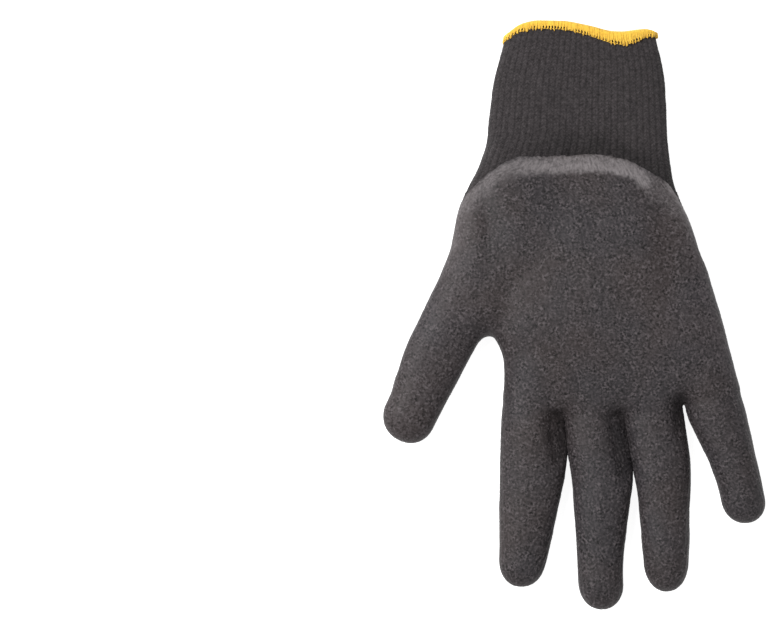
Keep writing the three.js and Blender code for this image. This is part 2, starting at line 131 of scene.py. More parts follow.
RING_ROWS = (
    (0.0, 34.0, 8.0, 3.0, 15.0),
    (-20.0, 33.4, 9.8, 0.6, 19.0),
    (-40.0, 33.6, 12.4, 0.0, 18.0),
    (-52.0, 35.2, 12.4, 0.0, 17.6),
    (-63.7, 37.3, 12.0, 0.0, 17.1),
    (-74.0, 38.4, 10.9, 0.1, 16.6),
    (-84.4, 38.7, 10.2, 0.3, 16.1),
    (-94.8, 39.3, 9.6, 0.6, 15.6),
    (-105.2, 39.6, 8.7, 1.0, 15.1),
    (-112.1, 39.7, 8.5, 1.2, 14.8),
    (-122.0, 39.7, 8.4, 1.4, 14.4),
)
LITTLE_ROWS = (
    (-5.0, 54.0, 7.0, 3.0, 14.0),
    (-20.0, 56.2, 9.4, 0.6, 18.6),
    (-32.0, 58.6, 11.2, 0.1, 18.6),
    (-42.9, 61.0, 12.2, 0.0, 18.4),
    (-49.8, 63.5, 11.4, 0.0, 17.9),
    (-56.8, 66.1, 10.3, 0.1, 17.3),
    (-63.7, 68.6, 9.4, 0.3, 16.7),
    (-70.6, 70.7, 8.9, 0.6, 16.1),
    (-77.5, 72.6, 8.5, 0.9, 15.6),
    (-82.0, 73.4, 8.9, 1.2, 15.1),
    (-92.0, 73.8, 9.0, 1.4, 14.8),
)
# Rows: distance from the ball of the thumb, centre, half width, underside, top, along a slanted line.
THUMB_ROWS = (
    (-24.0, -3.0, 13.4, 1.0, 15.0),
    (-13.1, -1.5, 17.2, 0.6, 17.2),
    (0.0, -0.3, 19.7, 0.2, 20.2),
    (13.0, 0.4, 19.6, 0.0, 22.0),
    (27.2, 2.3, 17.3, 0.3, 22.3),
    (41.7, 0.8, 14.8, 1.0, 21.4),
    (57.3, -1.1, 13.2, 1.8, 20.2),
    (72.4, -1.7, 12.9, 2.6, 19.3),
    (79.0, -1.5, 12.7, 2.9, 19.0),
    (86.0, -0.9, 11.8, 3.2, 18.8),
    (92.0, -0.3, 10.9, 3.4, 18.6),
    (97.0, -0.2, 10.4, 3.6, 18.5),
    (102.0, -0.5, 10.6, 3.7, 18.4),
    (116.0, 0.0, 10.6, 3.9, 18.2),
)
THUMB_START = (-28.2, 47.5)
THUMB_TURN = 25.2
THUMB_ROLL = 7.0
# The web between thumb and palm: middle x, y, z and half sizes.
WEB = ((-37.2, 5.5, 9.6), (8.2, 11.0, 8.2))

# Soft creases of the palm: (x, y) from, (x, y) to, depth, spread.
CREASES = (
    ((-38.0, 48.0), (-34.0, 26.0), 1.3, 5.5),
    ((37.0, 46.0), (40.5, 12.0), 1.2, 6.5),
    ((-6.8, -43.6), (-4.8, -59.0), 4.4, 2.3),
    ((-10.4, -45.0), (-8.2, -62.0), 3.4, 3.6),
    ((19.6, -43.6), (24.0, -66.0), 4.4, 2.3),
    ((16.0, -45.0), (20.6, -68.0), 3.4, 3.6),
    ((46.2, -34.0), (46.6, -44.0), 2.6, 2.6),
    ((43.6, -37.0), (45.0, -50.0), 2.0, 3.6),
)

# The top edge of the hem and the height of its band, by share of the rim's length
# from the little finger's side over the palm side.
RIM_ROWS = (
    (0.0, 122.0, 1.9),
    (0.04, 123.7, 2.7),
    (0.08, 123.1, 4.8),
    (0.12, 122.2, 5.6),
    (0.165, 122.5, 5.0),
    (0.215, 124.5, 4.2),
    (0.295, 126.8, 3.5),
    (0.4, 127.2, 3.3),
    (0.45, 125.5, 3.2),
    (0.485, 121.3, 3.2),
    (0.55, 121.3, 3.4),
    (0.65, 122.6, 3.4),
    (0.78, 123.4, 3.4),
    (0.9, 122.6, 3.2),
    (1.0, 122.0, 1.9),
)

# The coating's edge at the wrist: x, y.
COAT_EDGE = (
    (-62.0, 38.0), (-52.0, 46.5), (-49.0, 49.6), (-45.5, 53.8), (-41.2, 57.9), (-36.0, 62.1),
    (-30.4, 66.3), (-23.9, 68.0), (-6.6, 68.4), (6.4, 69.3), (15.0, 68.5), (23.7, 66.4),
    (30.2, 62.4), (34.5, 60.2), (37.3, 59.2), (39.5, 57.8), (42.5, 54.4), (46.0, 49.5), (60.0, 29.0),
)

# Where the pieces start and end along the hand: the skin under the latex, the bare knit, the cuff,
# the inside of the knit, and the line where the latex of the fingers meets that of the palm.
SKIN_TOP = 76.0
KNIT_TOP = 53.0
CUFF_LOW = 49.0
LINING_TOP = 117.5
FINGER_ROOTS = -34.0
# Rows of loops in the cuff, and how many rows a loop's leg climbs from its middle to its side.
RIB_ROW = 1.5
LEG_SLANT = 0.62
# How far the lowest corners of the glove stay above the table, and the middle of the hem's strands.
TABLE_GAP = 0.02
HEM_GAP = 0.36


class GloveSizes(bpy.types.PropertyGroup):
    latex: FloatProperty(
        name="Latex thickness", description="Thickness of the dip away from its thin edge",
        default=0.95 * MM, min=0.3 * MM, max=2 * MM, unit="LENGTH")
    latex_edge: FloatProperty(
        name="Latex edge thickness", description="Thickness of the dip where it thins out",
        default=0.16 * MM, min=0.05 * MM, max=1 * MM, unit="LENGTH")
    crinkle: FloatProperty(
        name="Crinkle height", description="Height of the grip wrinkles",
        default=0.14 * MM, min=0.0, max=0.6 * MM, unit="LENGTH")
    crinkle_cell: FloatProperty(
        name="Crinkle size", description="Distance between neighbouring grip wrinkles",
        default=1.0 * MM, min=0.8 * MM, max=5 * MM, unit="LENGTH")
    wale: FloatProperty(
        name="Stitch column", description="Width of one column of loops of the plain knit",
        default=2.1 * MM, min=1 * MM, max=4 * MM, unit="LENGTH")
    course: FloatProperty(
        name="Stitch row", description="Height of one row of loops of the plain knit",
        default=1.55 * MM, min=0.8 * MM, max=4 * MM, unit="LENGTH")
    ribs: IntProperty(
        name="Ribs", description="Number of ribs round the cuff", default=60, min=20, max=90)
    rib_depth: FloatProperty(
        name="Rib depth", description="How far a rib stands out from the gaps beside it",
        default=0.26 * MM, min=0.0, max=1.5 * MM, unit="LENGTH")
    hem_stitches: IntProperty(
        name="Hem stitches", description="Number of overlock stitches round the rim",
        default=108, min=40, max=160)
    hem_thread: FloatProperty(
        name="Hem thread", description="Diameter of the overlock thread",
        default=0.52 * MM, min=0.2 * MM, max=1 * MM, unit="LENGTH")


def swatch(label, text, code):
    """A colour property whose default is an sRGB hex value."""
    return FloatVectorProperty(name=label, description=text, subtype="COLOR", size=4,
                               min=0.0, max=1.0, default=linear(code))


def linear(code):
    """Turns an sRGB hex value such as #4b4849 into linear red, green, blue and alpha."""
    parts = [int(code[i:i + 2], 16) / 255 for i in (1, 3, 5)]
    return tuple(p / 12.92 if p <= 0.04045 else ((p + 0.055) / 1.055) ** 2.4 for p in parts) + (1.0,)


class GloveColours(bpy.types.PropertyGroup):
    latex_ground: swatch("Latex", "Warm grey of the latex between wrinkles and crests", "#342e2e")
    latex_cool: swatch("Latex, cooler", "Grey of the latex where it leans to blue", "#312e30")
    # The crest colour is partly wear and partly a painted highlight on the wrinkles; the hollow colour is
    # painted shade in their grooves.
    latex_crest_wear_and_highlight: swatch("Latex crest", "Pale grey on the crests of the wrinkles", "#534d4f")
    latex_groove_shade: swatch("Latex hollow", "Dark grey in the grooves", "#0a0808")
    latex_thin: swatch("Thin latex", "Where the knit shows through the thin edge", "#716c6d")
    yarn: swatch("Knit yarn", "Charcoal yarn of the hand", "#3b3837")
    # Painted shade between the loops of the hand.
    yarn_dark: swatch("Knit yarn, dark", "Between the loops of the hand", "#141212")
    rib: swatch("Rib yarn", "Charcoal yarn of the cuff", "#3b3738")
    # Painted shade between the ribs.
    rib_dark: swatch("Rib yarn, dark", "Between the ribs", "#1b1919")
    thread: swatch("Hem thread", "Yellow overlock thread", "#e8bd42")
    # Painted shade on the thread deep in the stitch.
    thread_dark: swatch("Hem thread, shaded", "Yellow thread deep in the stitch", "#b07a1c")
    floor: swatch("Floor", "Pale floor", "#c4c4c4")


# Small tools.

def ease(x):
    """Rises smoothly from 0 to 1 as x goes from 0 to 1."""
    x = np.clip(x, 0.0, 1.0)
    return x * x * (3.0 - 2.0 * x)


def soft_min(a, b, k):
    """The lesser of two distances, with a fillet of about k where they are near."""
    return np.minimum(a, b) - np.maximum(k - np.abs(a - b), 0.0) ** 2 / (4.0 * k)


def soft_max(a, b, k):
    """The greater of two distances, with a fillet of about k."""
    return -soft_min(-a, -b, k)


def rounded_table(rows, spread=3.0, step=0.5):
    """Dense rows from a few, with the corners at the given rows rounded off."""
    rows = np.array(rows, dtype=float)
    rows = rows[np.argsort(rows[:, 0])]
    at = np.arange(rows[0, 0], rows[-1, 0] + step, step)
    reach = int(3 * spread / step)
    bell = np.exp(-0.5 * (np.arange(-reach, reach + 1) * step / spread) ** 2)
    bell /= bell.sum()
    out = [at]
    for column in rows[:, 1:].T:
        values = np.interp(at, rows[:, 0], column)
        head = 2 * values[0] - values[reach:0:-1]
        tail = 2 * values[-1] - values[-2:-reach - 2:-1]
        out.append(np.convolve(np.concatenate([head, values, tail]), bell, "valid"))
    return np.array(out)


def soft_noise(points, size, seed):
    """Smooth values of about -1 to 1 in space, whose lumps are size apart, the same on every run."""
    p = np.asarray(points, dtype=np.float64) / size + seed * 17.31
    cell = np.floor(p).astype(np.int64)
    part = p - cell
    fade = part ** 3 * (part * (part * 6 - 15) + 10)
    total = np.zeros(len(p))
    for corner in range(8):
        step = np.array([corner & 1, corner >> 1 & 1, corner >> 2 & 1])
        at = cell + step
        mix = at[:, 0] * 374761393 + at[:, 1] * 668265263 + at[:, 2] * 1440662683 + seed * 144665
        mix = (mix ^ (mix >> 13)) * 1274126177
        mix = mix ^ (mix >> 16)
        pull = np.stack([(mix >> s & 1023) / 511.5 - 1 for s in (0, 10, 20)], axis=1)
        weight = np.prod(np.where(step, fade, 1 - fade), axis=1)
        total += weight * np.sum(pull * (part - step), axis=1)
    return total * 1.6


def seeded(number, seed):
    """Random values from 0 to 1, the same on every run."""
    return np.random.default_rng(seed).random(number)


# The hand as a field of distances.

class Tube:
    """One soft tube of the hand: a flattened, rounded section along a line, closed round at both ends."""

    def __init__(self, rows, tip, tip_run, power, root=None, root_run=12.0, start=None, turn=0.0, roll=0.0,
                 edges=False, coat=(0.5, 0.5), cap=None):
        rows = np.array(rows)
        if edges:
            middle = (rows[:, 1] + rows[:, 2]) / 2
            half = (rows[:, 2] - rows[:, 1]) / 2
            rows = np.column_stack([rows[:, 0], middle, half, rows[:, 3], rows[:, 4]])
        if start is None:
            rows[:, 0] = -rows[:, 0]
        self.table = rounded_table(rows)
        self.tip, self.tip_run, self.power = tip, tip_run, power
        self.root, self.root_run = root, root_run
        self.start = np.array(start or (0.0, 0.0))
        angle = np.radians(turn)
        self.forth = np.array([-np.sin(angle), -np.cos(angle)])
        self.side = np.array([np.cos(angle), -np.sin(angle)])
        self.roll = np.radians(roll)
        self.coat, self.cap = coat, cap

    def locate(self, x, y, z):
        """Distance along the tube, shares of its half width and half height, and those two sizes."""
        dx, dy = x - self.start[0], y - self.start[1]
        along = dx * self.forth[0] + dy * self.forth[1]
        across = dx * self.side[0] + dy * self.side[1]
        at, middle, half, low, top = self.table
        off = across - np.interp(along, at, middle)
        wide = np.interp(along, at, half)
        low, top = np.interp(along, at, low), np.interp(along, at, top)
        deep = (top - low) / 2
        up = z - (top + low) / 2
        c, s = np.cos(self.roll), np.sin(self.roll)
        return along, (off * c - up * s) / wide, (up * c + off * s) / deep, wide, deep

    def level(self, x, y, z):
        """1 on the tube's surface, less inside it and more outside."""
        along, u, w = self.locate(x, y, z)[:3]
        tip = self.tip if np.isscalar(self.tip) else np.interp(x, *np.transpose(self.tip))
        past = np.maximum(0.0, along - tip) / self.tip_run
        total = np.abs(u) ** self.power + np.abs(w) ** self.power + past ** self.power
        if self.root is not None:
            total = total + (np.maximum(0.0, self.root - along) / self.root_run) ** self.power
        return total ** (1.0 / self.power)

    def reach(self):
        """The box in x and y that holds the tube, with room round it."""
        at, middle, half = self.table[:3]
        ends = at[(at > (self.root or -200) - self.root_run) & (at < np.max(self.tip) + self.tip_run + 2)]
        side = np.concatenate([np.interp(ends, at, middle - half), np.interp(ends, at, middle + half)])
        run = np.concatenate([ends, ends])
        spots = self.start + run[:, None] * self.forth + side[:, None] * self.side
        return spots.min(0) - 13.0, spots.max(0) + 13.0


TUBES = {
    "palm": Tube(BODY_ROWS, PALM_END, 8.0, 2.8, edges=True, coat=(0.64, 0.45)),
    "index": Tube(INDEX_ROWS, 105.4, 11.6, 2.15, root=12.0, coat=(0.84, 0.5), cap=(117.0, 20.0)),
    "middle": Tube(MIDDLE_ROWS, 115.2, 11.6, 2.15, root=12.0, coat=(0.5, 0.5), cap=(126.6, 22.0)),
    "ring": Tube(RING_ROWS, 107.4, 11.7, 2.15, root=12.0, coat=(0.5, 0.5), cap=(118.8, 21.0)),
    "little": Tube(LITTLE_ROWS, 78.8, 10.6, 2.15, root=18.0, coat=(0.45, 0.6), cap=(89.2, 20.0)),
    "thumb": Tube(THUMB_ROWS, 100.4, 11.3, 2.2, root=-12.0, start=THUMB_START, turn=THUMB_TURN,
                  roll=THUMB_ROLL, coat=(0.1, 1.3), cap=(111.0, 20.0)),
}
FINGERS = ("index", "middle", "ring", "little")
# The grid of distances: its box, the side of a cube, and the most that a distance counts.
FIELD_LOW = np.array([-88.0, -132.0, -3.5])
FIELD_HIGH = np.array([88.0, 134.0, 30.5])
CELL = 0.5
FAR = 11.0


class Field:
    """Distances to the knit's surface on a grid of small cubes: below 0 inside, above 0 outside."""

    def __init__(self):
        sizes = ((FIELD_HIGH - FIELD_LOW) / CELL).astype(int) + 1
        self.axes = [FIELD_LOW[i] + np.arange(sizes[i]) * CELL for i in range(3)]
        base = np.full(sizes, FAR, dtype=np.float32)
        self.join(base, "palm", lambda old, new, part: np.minimum(old, new))
        # The thumb runs out of the palm without a furrow near the wrist, and turns off it by the web.
        broad = ease((self.axes[0] + 41.0) / 7.0)[:, None] * ease((self.axes[1] - 10.0) / 20.0)[None, :]
        fillet = (6.0 + 4.5 * broad).astype(np.float32)[:, :, None]
        self.join(base, "thumb", lambda old, new, part: soft_min(old, new, fillet[part]))
        self.web(base)
        whole = base.copy()
        for name in FINGERS:
            window, new = self.part(name)
            whole[window] = np.minimum(whole[window], soft_min(base[window], new, 3.0))
        self.fold(whole)
        self.values = soft_max(whole, -self.axes[2][None, None, :] + TABLE_GAP, 1.0).astype(np.float32)

    def part(self, name):
        """The window of the grid that holds one tube, and the distances to that tube there."""
        tube = TUBES[name]
        low, high = tube.reach()
        span = [slice(*np.searchsorted(self.axes[i], (low[i], high[i]))) for i in range(2)]
        x = self.axes[0][span[0]][:, None, None]
        y = self.axes[1][span[1]][None, :, None]
        level = tube.level(x, y, self.axes[2][None, None, :])
        steep = np.sqrt(sum(g ** 2 for g in np.gradient(level, CELL))) + 1e-4
        return (span[0], span[1]), np.clip((level - 1.0) / steep, -FAR, FAR).astype(np.float32)

    def join(self, base, name, how):
        """Joins one tube to what is there."""
        window, new = self.part(name)
        base[window] = how(base[window], new, window)

    def web(self, base):
        """Fills the corner between thumb and palm with a rounded lump, the web."""
        middle, half = np.array(WEB[0]), np.array(WEB[1])
        span = [slice(*np.searchsorted(self.axes[i], (middle[i] - 26, middle[i] + 26))) for i in range(2)]
        away = [(self.axes[0][span[0]][:, None, None] - middle[0]) / half[0],
                (self.axes[1][span[1]][None, :, None] - middle[1]) / half[1],
                (self.axes[2][None, None, :] - middle[2]) / half[2]]
        level = np.sqrt(sum(a ** 2 for a in away)) + 1e-6
        steep = np.sqrt(sum((a / h) ** 2 for a, h in zip(away, half))) / level + 1e-4
        new = np.clip((level - 1.0) / steep, -FAR, FAR)
        window = (span[0], span[1])
        base[window] = soft_min(base[window], new.astype(np.float32), 9.0)

    def fold(self, whole):
        """Presses the soft creases into the palm side."""
        press = crease_depth(self.axes[0][:, None], self.axes[1][None, :])
        upper = ease((self.axes[2] - 9.0) / 6.0)
        whole += (press[:, :, None] * upper[None, None, :]).astype(np.float32)

    def at(self, points):
        """The distance at points, smooth between the grid's corners."""
        where = (points - FIELD_LOW) / CELL
        low = np.clip(np.floor(where).astype(int), 0, np.array(self.values.shape) - 2)
        part = np.clip(where - low, 0.0, 1.0)
        total = np.zeros(len(points))
        for corner in range(8):
            step = np.array([corner & 1, corner >> 1 & 1, corner >> 2 & 1])
            i, j, k = (low + step).T
            total += self.values[i, j, k] * np.prod(np.where(step, part, 1 - part), axis=1)
        return total

    def normal(self, points):
        """The direction straight out of the knit, measured 0.6 mm to each side."""
        steps = np.eye(3) * 0.6
        slope = np.stack([self.at(points + s) - self.at(points - s) for s in steps], axis=1)
        length = np.linalg.norm(slope, axis=1, keepdims=True)
        return slope / np.maximum(length, 1e-6)

    def settle(self, points, level=0.0, rounds=3):
        """Moves points onto the surface at a distance from the knit's own."""
        for _ in range(rounds):
            points = points - (self.at(points) - level)[:, None] * self.normal(points) * 0.9
        return points

    def surface(self, level=0.0, skip=1, top=200.0):
        """Corners and four-sided faces of a surface, up to a height along the hand."""
        count = int(np.searchsorted(self.axes[1], top))
        values = np.ascontiguousarray(self.values[::skip, :count:skip, ::skip])
        grid = openvdb.FloatGrid(FAR)
        grid.copyFromArray(values)
        grid.transform = openvdb.createLinearTransform(CELL * skip)
        corners, faces = grid.convertToQuads(level)
        return np.asarray(corners, dtype=np.float64) + FIELD_LOW, np.asarray(faces, dtype=np.int64)


def crease_depth(x, y):
    """How deep the soft creases lie at a place seen from above."""
    press = 0.0
    for (x0, y0), (x1, y1), depth, spread in CREASES:
        run = np.array([x1 - x0, y1 - y0])
        share = np.clip(((x - x0) * run[0] + (y - y0) * run[1]) / run.dot(run), 0.0, 1.0)
        away2 = (x - x0 - share * run[0]) ** 2 + (y - y0 - share * run[1]) ** 2
        press = press + depth * np.exp(-away2 / spread ** 2) * np.sin(np.pi * np.clip(share, 0.25, 0.75))
    return press


@functools.lru_cache(maxsize=None)
def hand_field():
    """The one field that every piece follows."""
    return Field()


def relax(points, faces, rounds):
    """Evens out the corners along the surface."""
    pairs = np.concatenate([faces[:, [i, (i + 1) % 4]] for i in range(4)])
    count = np.maximum(np.bincount(pairs[:, 0], minlength=len(points)), 1)
    for _ in range(rounds):
        mean = np.stack([np.bincount(pairs[:, 0], weights=points[pairs[:, 1], i], minlength=len(points))
                         for i in range(3)], axis=1) / count[:, None]
        points = points + 0.5 * (mean - points)
    return points


@functools.lru_cache(maxsize=None)
def hand_skin():
    """The knit's outer surface below the cuff, as corners and faces."""
    field = hand_field()
    points, faces = field.surface(top=SKIN_TOP)
    points = field.settle(relax(points, faces, 2), rounds=2)
    return points, faces


@functools.lru_cache(maxsize=None)
def arc_table(aspect, power):
    """Run round a section from the middle of its underside to the middle of its top, by angle, where the
    section is 2 wide."""
    angle = np.linspace(-np.pi / 2, np.pi / 2, 400)
    x = np.abs(np.cos(angle)) ** (2 / power)
    y = aspect * np.sign(np.sin(angle)) * np.abs(np.sin(angle)) ** (2 / power)
    run = np.concatenate([[0.0], np.cumsum(np.hypot(np.diff(x), np.diff(y)))])
    return angle, run


def knit_run(tube, u, w, wide):
    """Millimetres across the knit, from the middle of the back round the side."""
    angle = np.arctan2(np.sign(w) * np.abs(w) ** (tube.power / 2), np.abs(u) ** (tube.power / 2) + 1e-9)
    table = arc_table(0.3 if tube is TUBES["palm"] else 0.65, tube.power)
    return np.sign(u) * np.interp(angle, *table) * wide


def hand_facts(points):
    """For points on the hand: millimetres inside the coating's edge, across and along the knit, and whose
    tube each is on (0 palm, 1 to 4 fingers, 5 thumb)."""
    x, y, z = points.T
    found = {}
    levels = {}
    for name, tube in TUBES.items():
        along, u, w, wide, deep = tube.locate(x, y, z)
        size = np.maximum((np.abs(u) ** tube.power + np.abs(w) ** tube.power) ** (1 / tube.power), 1e-3)
        right = tube.coat[1]
        if name == "thumb":
            # Beyond the web the dip turns well under the thumb's inner side.
            right = 0.35 + (right - 0.35) * ease((along - 41.0) / 12.0)
        low_side = tube.coat[0] + (right - tube.coat[0]) * ease((u / size + 1.0) / 1.6)
        inside = (w / size + low_side) * deep
        if tube.cap:
            tip, length = tube.cap
            inside = soft_max(inside, along - (tip - length) + 7.0 * (u / size) ** 2, 4.0)
        middle = np.interp(along, tube.table[0], tube.table[1])
        found[name] = (along, knit_run(tube, u, w, wide), inside, middle)
        levels[name] = (tube.level(x, y, z) - 1.0) * np.minimum(wide, deep)
    along, across, inside, middle = found["palm"]
    # By the wrist the dip stops short of the outer side, so that its pale edge shows from above.
    inside = inside - 6.5 * ease((y - 8.0) / 22.0) * ease((x - 20.0) / 16.0)
    edge = rounded_table(COAT_EDGE, spread=2.0)
    wrist = np.interp(x, edge[0], edge[1]) - y
    across = across + middle
    up = y.copy()
    owner = np.zeros(len(points), dtype=int)
    nearest = np.argmin(np.stack([levels[name] for name in FINGERS]), axis=0)
    for number, name in enumerate(FINGERS):
        f_along, f_across, f_inside, f_middle = found[name]
        mine = (nearest == number) & (f_along > 22.0)
        share = np.where(mine, ease((f_along - 24.0) / 20.0), 0.0)
        inside = inside + share * (f_inside - inside)
        across = across + share * (f_across + f_middle - across)
        owner[mine & (f_along > 42.0)] = number + 1
    t_along, t_across, t_inside, _ = found["thumb"]
    share = ease(0.5 + (levels["palm"] - levels["thumb"]) / 9.0)
    share = np.where(y > -60.0, share, 0.0) * (x < 0)
    inside = inside + share * (t_inside - inside)
    # The thumb's columns of loops meet the hand's along a line.
    across = np.where(share > 0.5, t_across - 30.0, across)
    up = np.where(share > 0.5, THUMB_START[1] - t_along, up)
    owner[(share > 0.5) & (t_along > 44.0)] = 5
    inside = soft_min(inside, wrist, 5.0)
    ragged = 0.45 * soft_noise(points, 3.1, 5) + 0.3 * soft_noise(points, 1.3, 6)
    return inside + ragged, across, up, owner


def sway(points):
    """Slow, shallow unevenness of soft cloth, the same for every piece that lies there."""
    lift = 0.28 * soft_noise(points, 21.0, 11) + 0.12 * soft_noise(points, 9.0, 12)
    return lift * ease((points[:, 2] - 0.5) / 4.0)


# The meshes.

def make_piece(name, points, faces, facts, material, replaced=()):
    """A mesh object in metres from corners in millimetres, with values at each corner for its material."""
    if not len(faces):
        raise RuntimeError(name + " has no faces")
    used, faces_now = np.unique(np.asarray(faces).ravel(), return_inverse=True)
    points = np.asarray(points)[used] * MM
    points[:, 2] = np.maximum(points[:, 2], TABLE_GAP * MM)
    faces_now = faces_now.reshape(np.asarray(faces).shape)
    mesh = bpy.data.meshes.new(name)
    sides = faces_now.shape[1]
    mesh.vertices.add(len(points))
    mesh.vertices.foreach_set("co", points.astype(np.float32).ravel())
    mesh.loops.add(faces_now.size)
    mesh.loops.foreach_set("vertex_index", faces_now.astype(np.int32).ravel())
    mesh.polygons.add(len(faces_now))
    mesh.polygons.foreach_set("loop_start", np.arange(0, faces_now.size, sides, dtype=np.int32))
    mesh.update(calc_edges=True)
    mesh.validate()
    mesh.shade_smooth()
    for key, values in facts.items():
        layer = mesh.attributes.new(key, "FLOAT", "POINT")
        layer.data.foreach_set("value", np.asarray(values, dtype=np.float32)[used])
    piece = bpy.data.objects.new(name, mesh)
    bpy.context.scene.collection.objects.link(piece)
    mesh.materials.append(material)
    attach(piece, "root")
    if replaced:
        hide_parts(*replaced)
    print(name, len(faces_now) * (sides - 2), "triangles")
    return piece


def rim_edges(faces):
    """Directed edges that only one of the faces uses."""
    sides = faces.shape[1]
    pairs = np.concatenate([faces[:, [i, (i + 1) % sides]] for i in range(sides)])
    keys = pairs[:, 0] * 10 ** 7 + pairs[:, 1]
    back = pairs[:, 1] * 10 ** 7 + pairs[:, 0]
    return pairs[~np.isin(keys, back)]


def grid_faces(rows, columns):
    """Four-sided faces of a closed tube of corners, row by row."""
    r, c = np.meshgrid(np.arange(rows - 1), np.arange(columns), indexing="ij")
    a = r * columns + c
    b = r * columns + (c + 1) % columns
    return np.stack([a, b, b + columns, a + columns], axis=-1).reshape(-1, 4)


# The materials.

def put(tree, kind, inputs=(), **settings):
    """Adds one node with its settings, and gives its inputs values or links, in order or by name.
    Returns its outputs."""
    node = tree.nodes.new("ShaderNode" + kind)
    for key, value in settings.items():
        setattr(node, key, value)
    for key, value in inputs.items() if isinstance(inputs, dict) else enumerate(inputs):
        if isinstance(value, bpy.types.NodeSocket):
            tree.links.new(value, node.inputs[key])
        else:
            node.inputs[key].default_value = value
    return node.outputs


def finish_named(name):
    """A new material with its node tree and its main shader."""
    material = bpy.data.materials.new(name)
    material.use_nodes = True
    tree = material.node_tree
    return material, tree, tree.nodes["Principled BSDF"]


def crinkled_latex():
    """Natural latex, dipped on knit and crinkled while it set: matte dark grey, its small crests paler from
    wear and a painted highlight, painted shade in the grooves between them, and a paler, smoother edge where
    it is thin enough to show the knit."""
    colours = bpy.context.scene.glove_colours
    material, tree, shader = finish_named("crinkled_dipped_latex")
    place = put(tree, "TexCoord")["Object"]
    crest_painted_light_and_shade = put(tree, "Attribute", attribute_name="crest_painted_light_and_shade")["Fac"]
    thin = put(tree, "Attribute", attribute_name="thin")["Fac"]
    wale = put(tree, "Attribute", attribute_name="wale")["Fac"]
    course = put(tree, "Attribute", attribute_name="course")["Fac"]
    # Grit of about 1 mm, finer than the mesh can hold, rides on the modelled wrinkles. It comes in
    # lively and calm patches, and a few specks stand out.
    grit = put(tree, "TexNoise", {"Vector": place, "Scale": 1 / (1.05 * MM), "Detail": 3.0,
                                  "Roughness": 0.6})["Fac"]
    lively = put(tree, "TexNoise", {"Vector": place, "Scale": 1 / (3.2 * MM), "Detail": 2.0})["Fac"]
    lively = put(tree, "MapRange", {"Value": lively, "From Min": 0.36, "From Max": 0.7, "To Min": 0.55,
                                    "To Max": 2.6})[0]
    # The crest value and the grit choose between painted shade in the grooves and painted highlight and wear
    # on the crests.
    relief = put(tree, "Math", (crest_painted_light_and_shade, 0.3, -0.15), operation="MULTIPLY_ADD")[0]
    swing = put(tree, "Math", (grit, 0.5), operation="SUBTRACT")[0]
    relief = put(tree, "Math", (swing, lively, relief), operation="MULTIPLY_ADD")[0]
    low = put(tree, "MapRange", {"Value": relief, "From Min": -0.36, "From Max": 0.04})[0]
    high = put(tree, "MapRange", {"Value": relief, "From Min": 0.0, "From Max": 0.36})[0]
    # The grey leans a little to brown in some places and to blue in others.
    tint = put(tree, "TexNoise", {"Vector": place, "Scale": 1 / (26 * MM), "Detail": 1.0})["Fac"]
    tint = put(tree, "MapRange", {"Value": tint, "From Min": 0.35, "From Max": 0.65})[0]
    body = put(tree, "Mix", {0: tint, 6: colours.latex_ground, 7: colours.latex_cool}, data_type="RGBA")[2]
    # Painted shade in the grooves, then painted highlight and wear on the crests.
    ground = put(tree, "Mix", {0: low, 6: colours.latex_groove_shade, 7: body}, data_type="RGBA")[2]
    colour = put(tree, "Mix", {0: high, 6: ground, 7: colours.latex_crest_wear_and_highlight}, data_type="RGBA")[2]
    # Streaks of the knit's columns, broken up at random, show through the thin edge.
    across = put(tree, "Math", (wale, 0.9), operation="DIVIDE")[0]
    along = put(tree, "Math", (course, 2.6), operation="DIVIDE")[0]
    lane = put(tree, "CombineXYZ", (across, along))[0]
    streak = put(tree, "TexNoise", {"Vector": lane, "Scale": 1.0, "Detail": 2.0, "Roughness": 0.6})["Fac"]
    streak = put(tree, "Math", (streak, 2.0, -0.13), operation="MULTIPLY_ADD")[0]
    mottle = put(tree, "Math", (grit, 1.2, 0.3), operation="MULTIPLY_ADD")[0]
    pale = put(tree, "Math", (thin, streak), operation="MULTIPLY")[0]
    pale = put(tree, "Math", (pale, mottle), operation="MULTIPLY")[0]
    colour = put(tree, "Mix", {0: pale, 6: colour, 7: colours.latex_thin}, data_type="RGBA")[2]
    patch = put(tree, "TexNoise", {"Vector": place, "Scale": 1 / (14 * MM), "Detail": 2.0})["Fac"]
    patch = put(tree, "Math", (patch, 0.04, 0.99), operation="MULTIPLY_ADD")[0]
    colour = put(tree, "HueSaturation", {"Color": colour, "Value": patch})[0]
    tree.links.new(colour, shader.inputs["Base Color"])
    rough = put(tree, "Math", (grit, 0.2, 0.5), operation="MULTIPLY_ADD")[0]
    tree.links.new(rough, shader.inputs["Roughness"])
    shader.inputs["IOR"].default_value = 1.52
    shader.inputs["Specular IOR Level"].default_value = 0.22
    bump = put(tree, "Bump", {"Height": grit, "Strength": 0.5, "Distance": 0.2 * MM})[0]
    tree.links.new(bump, shader.inputs["Normal"])
    return material


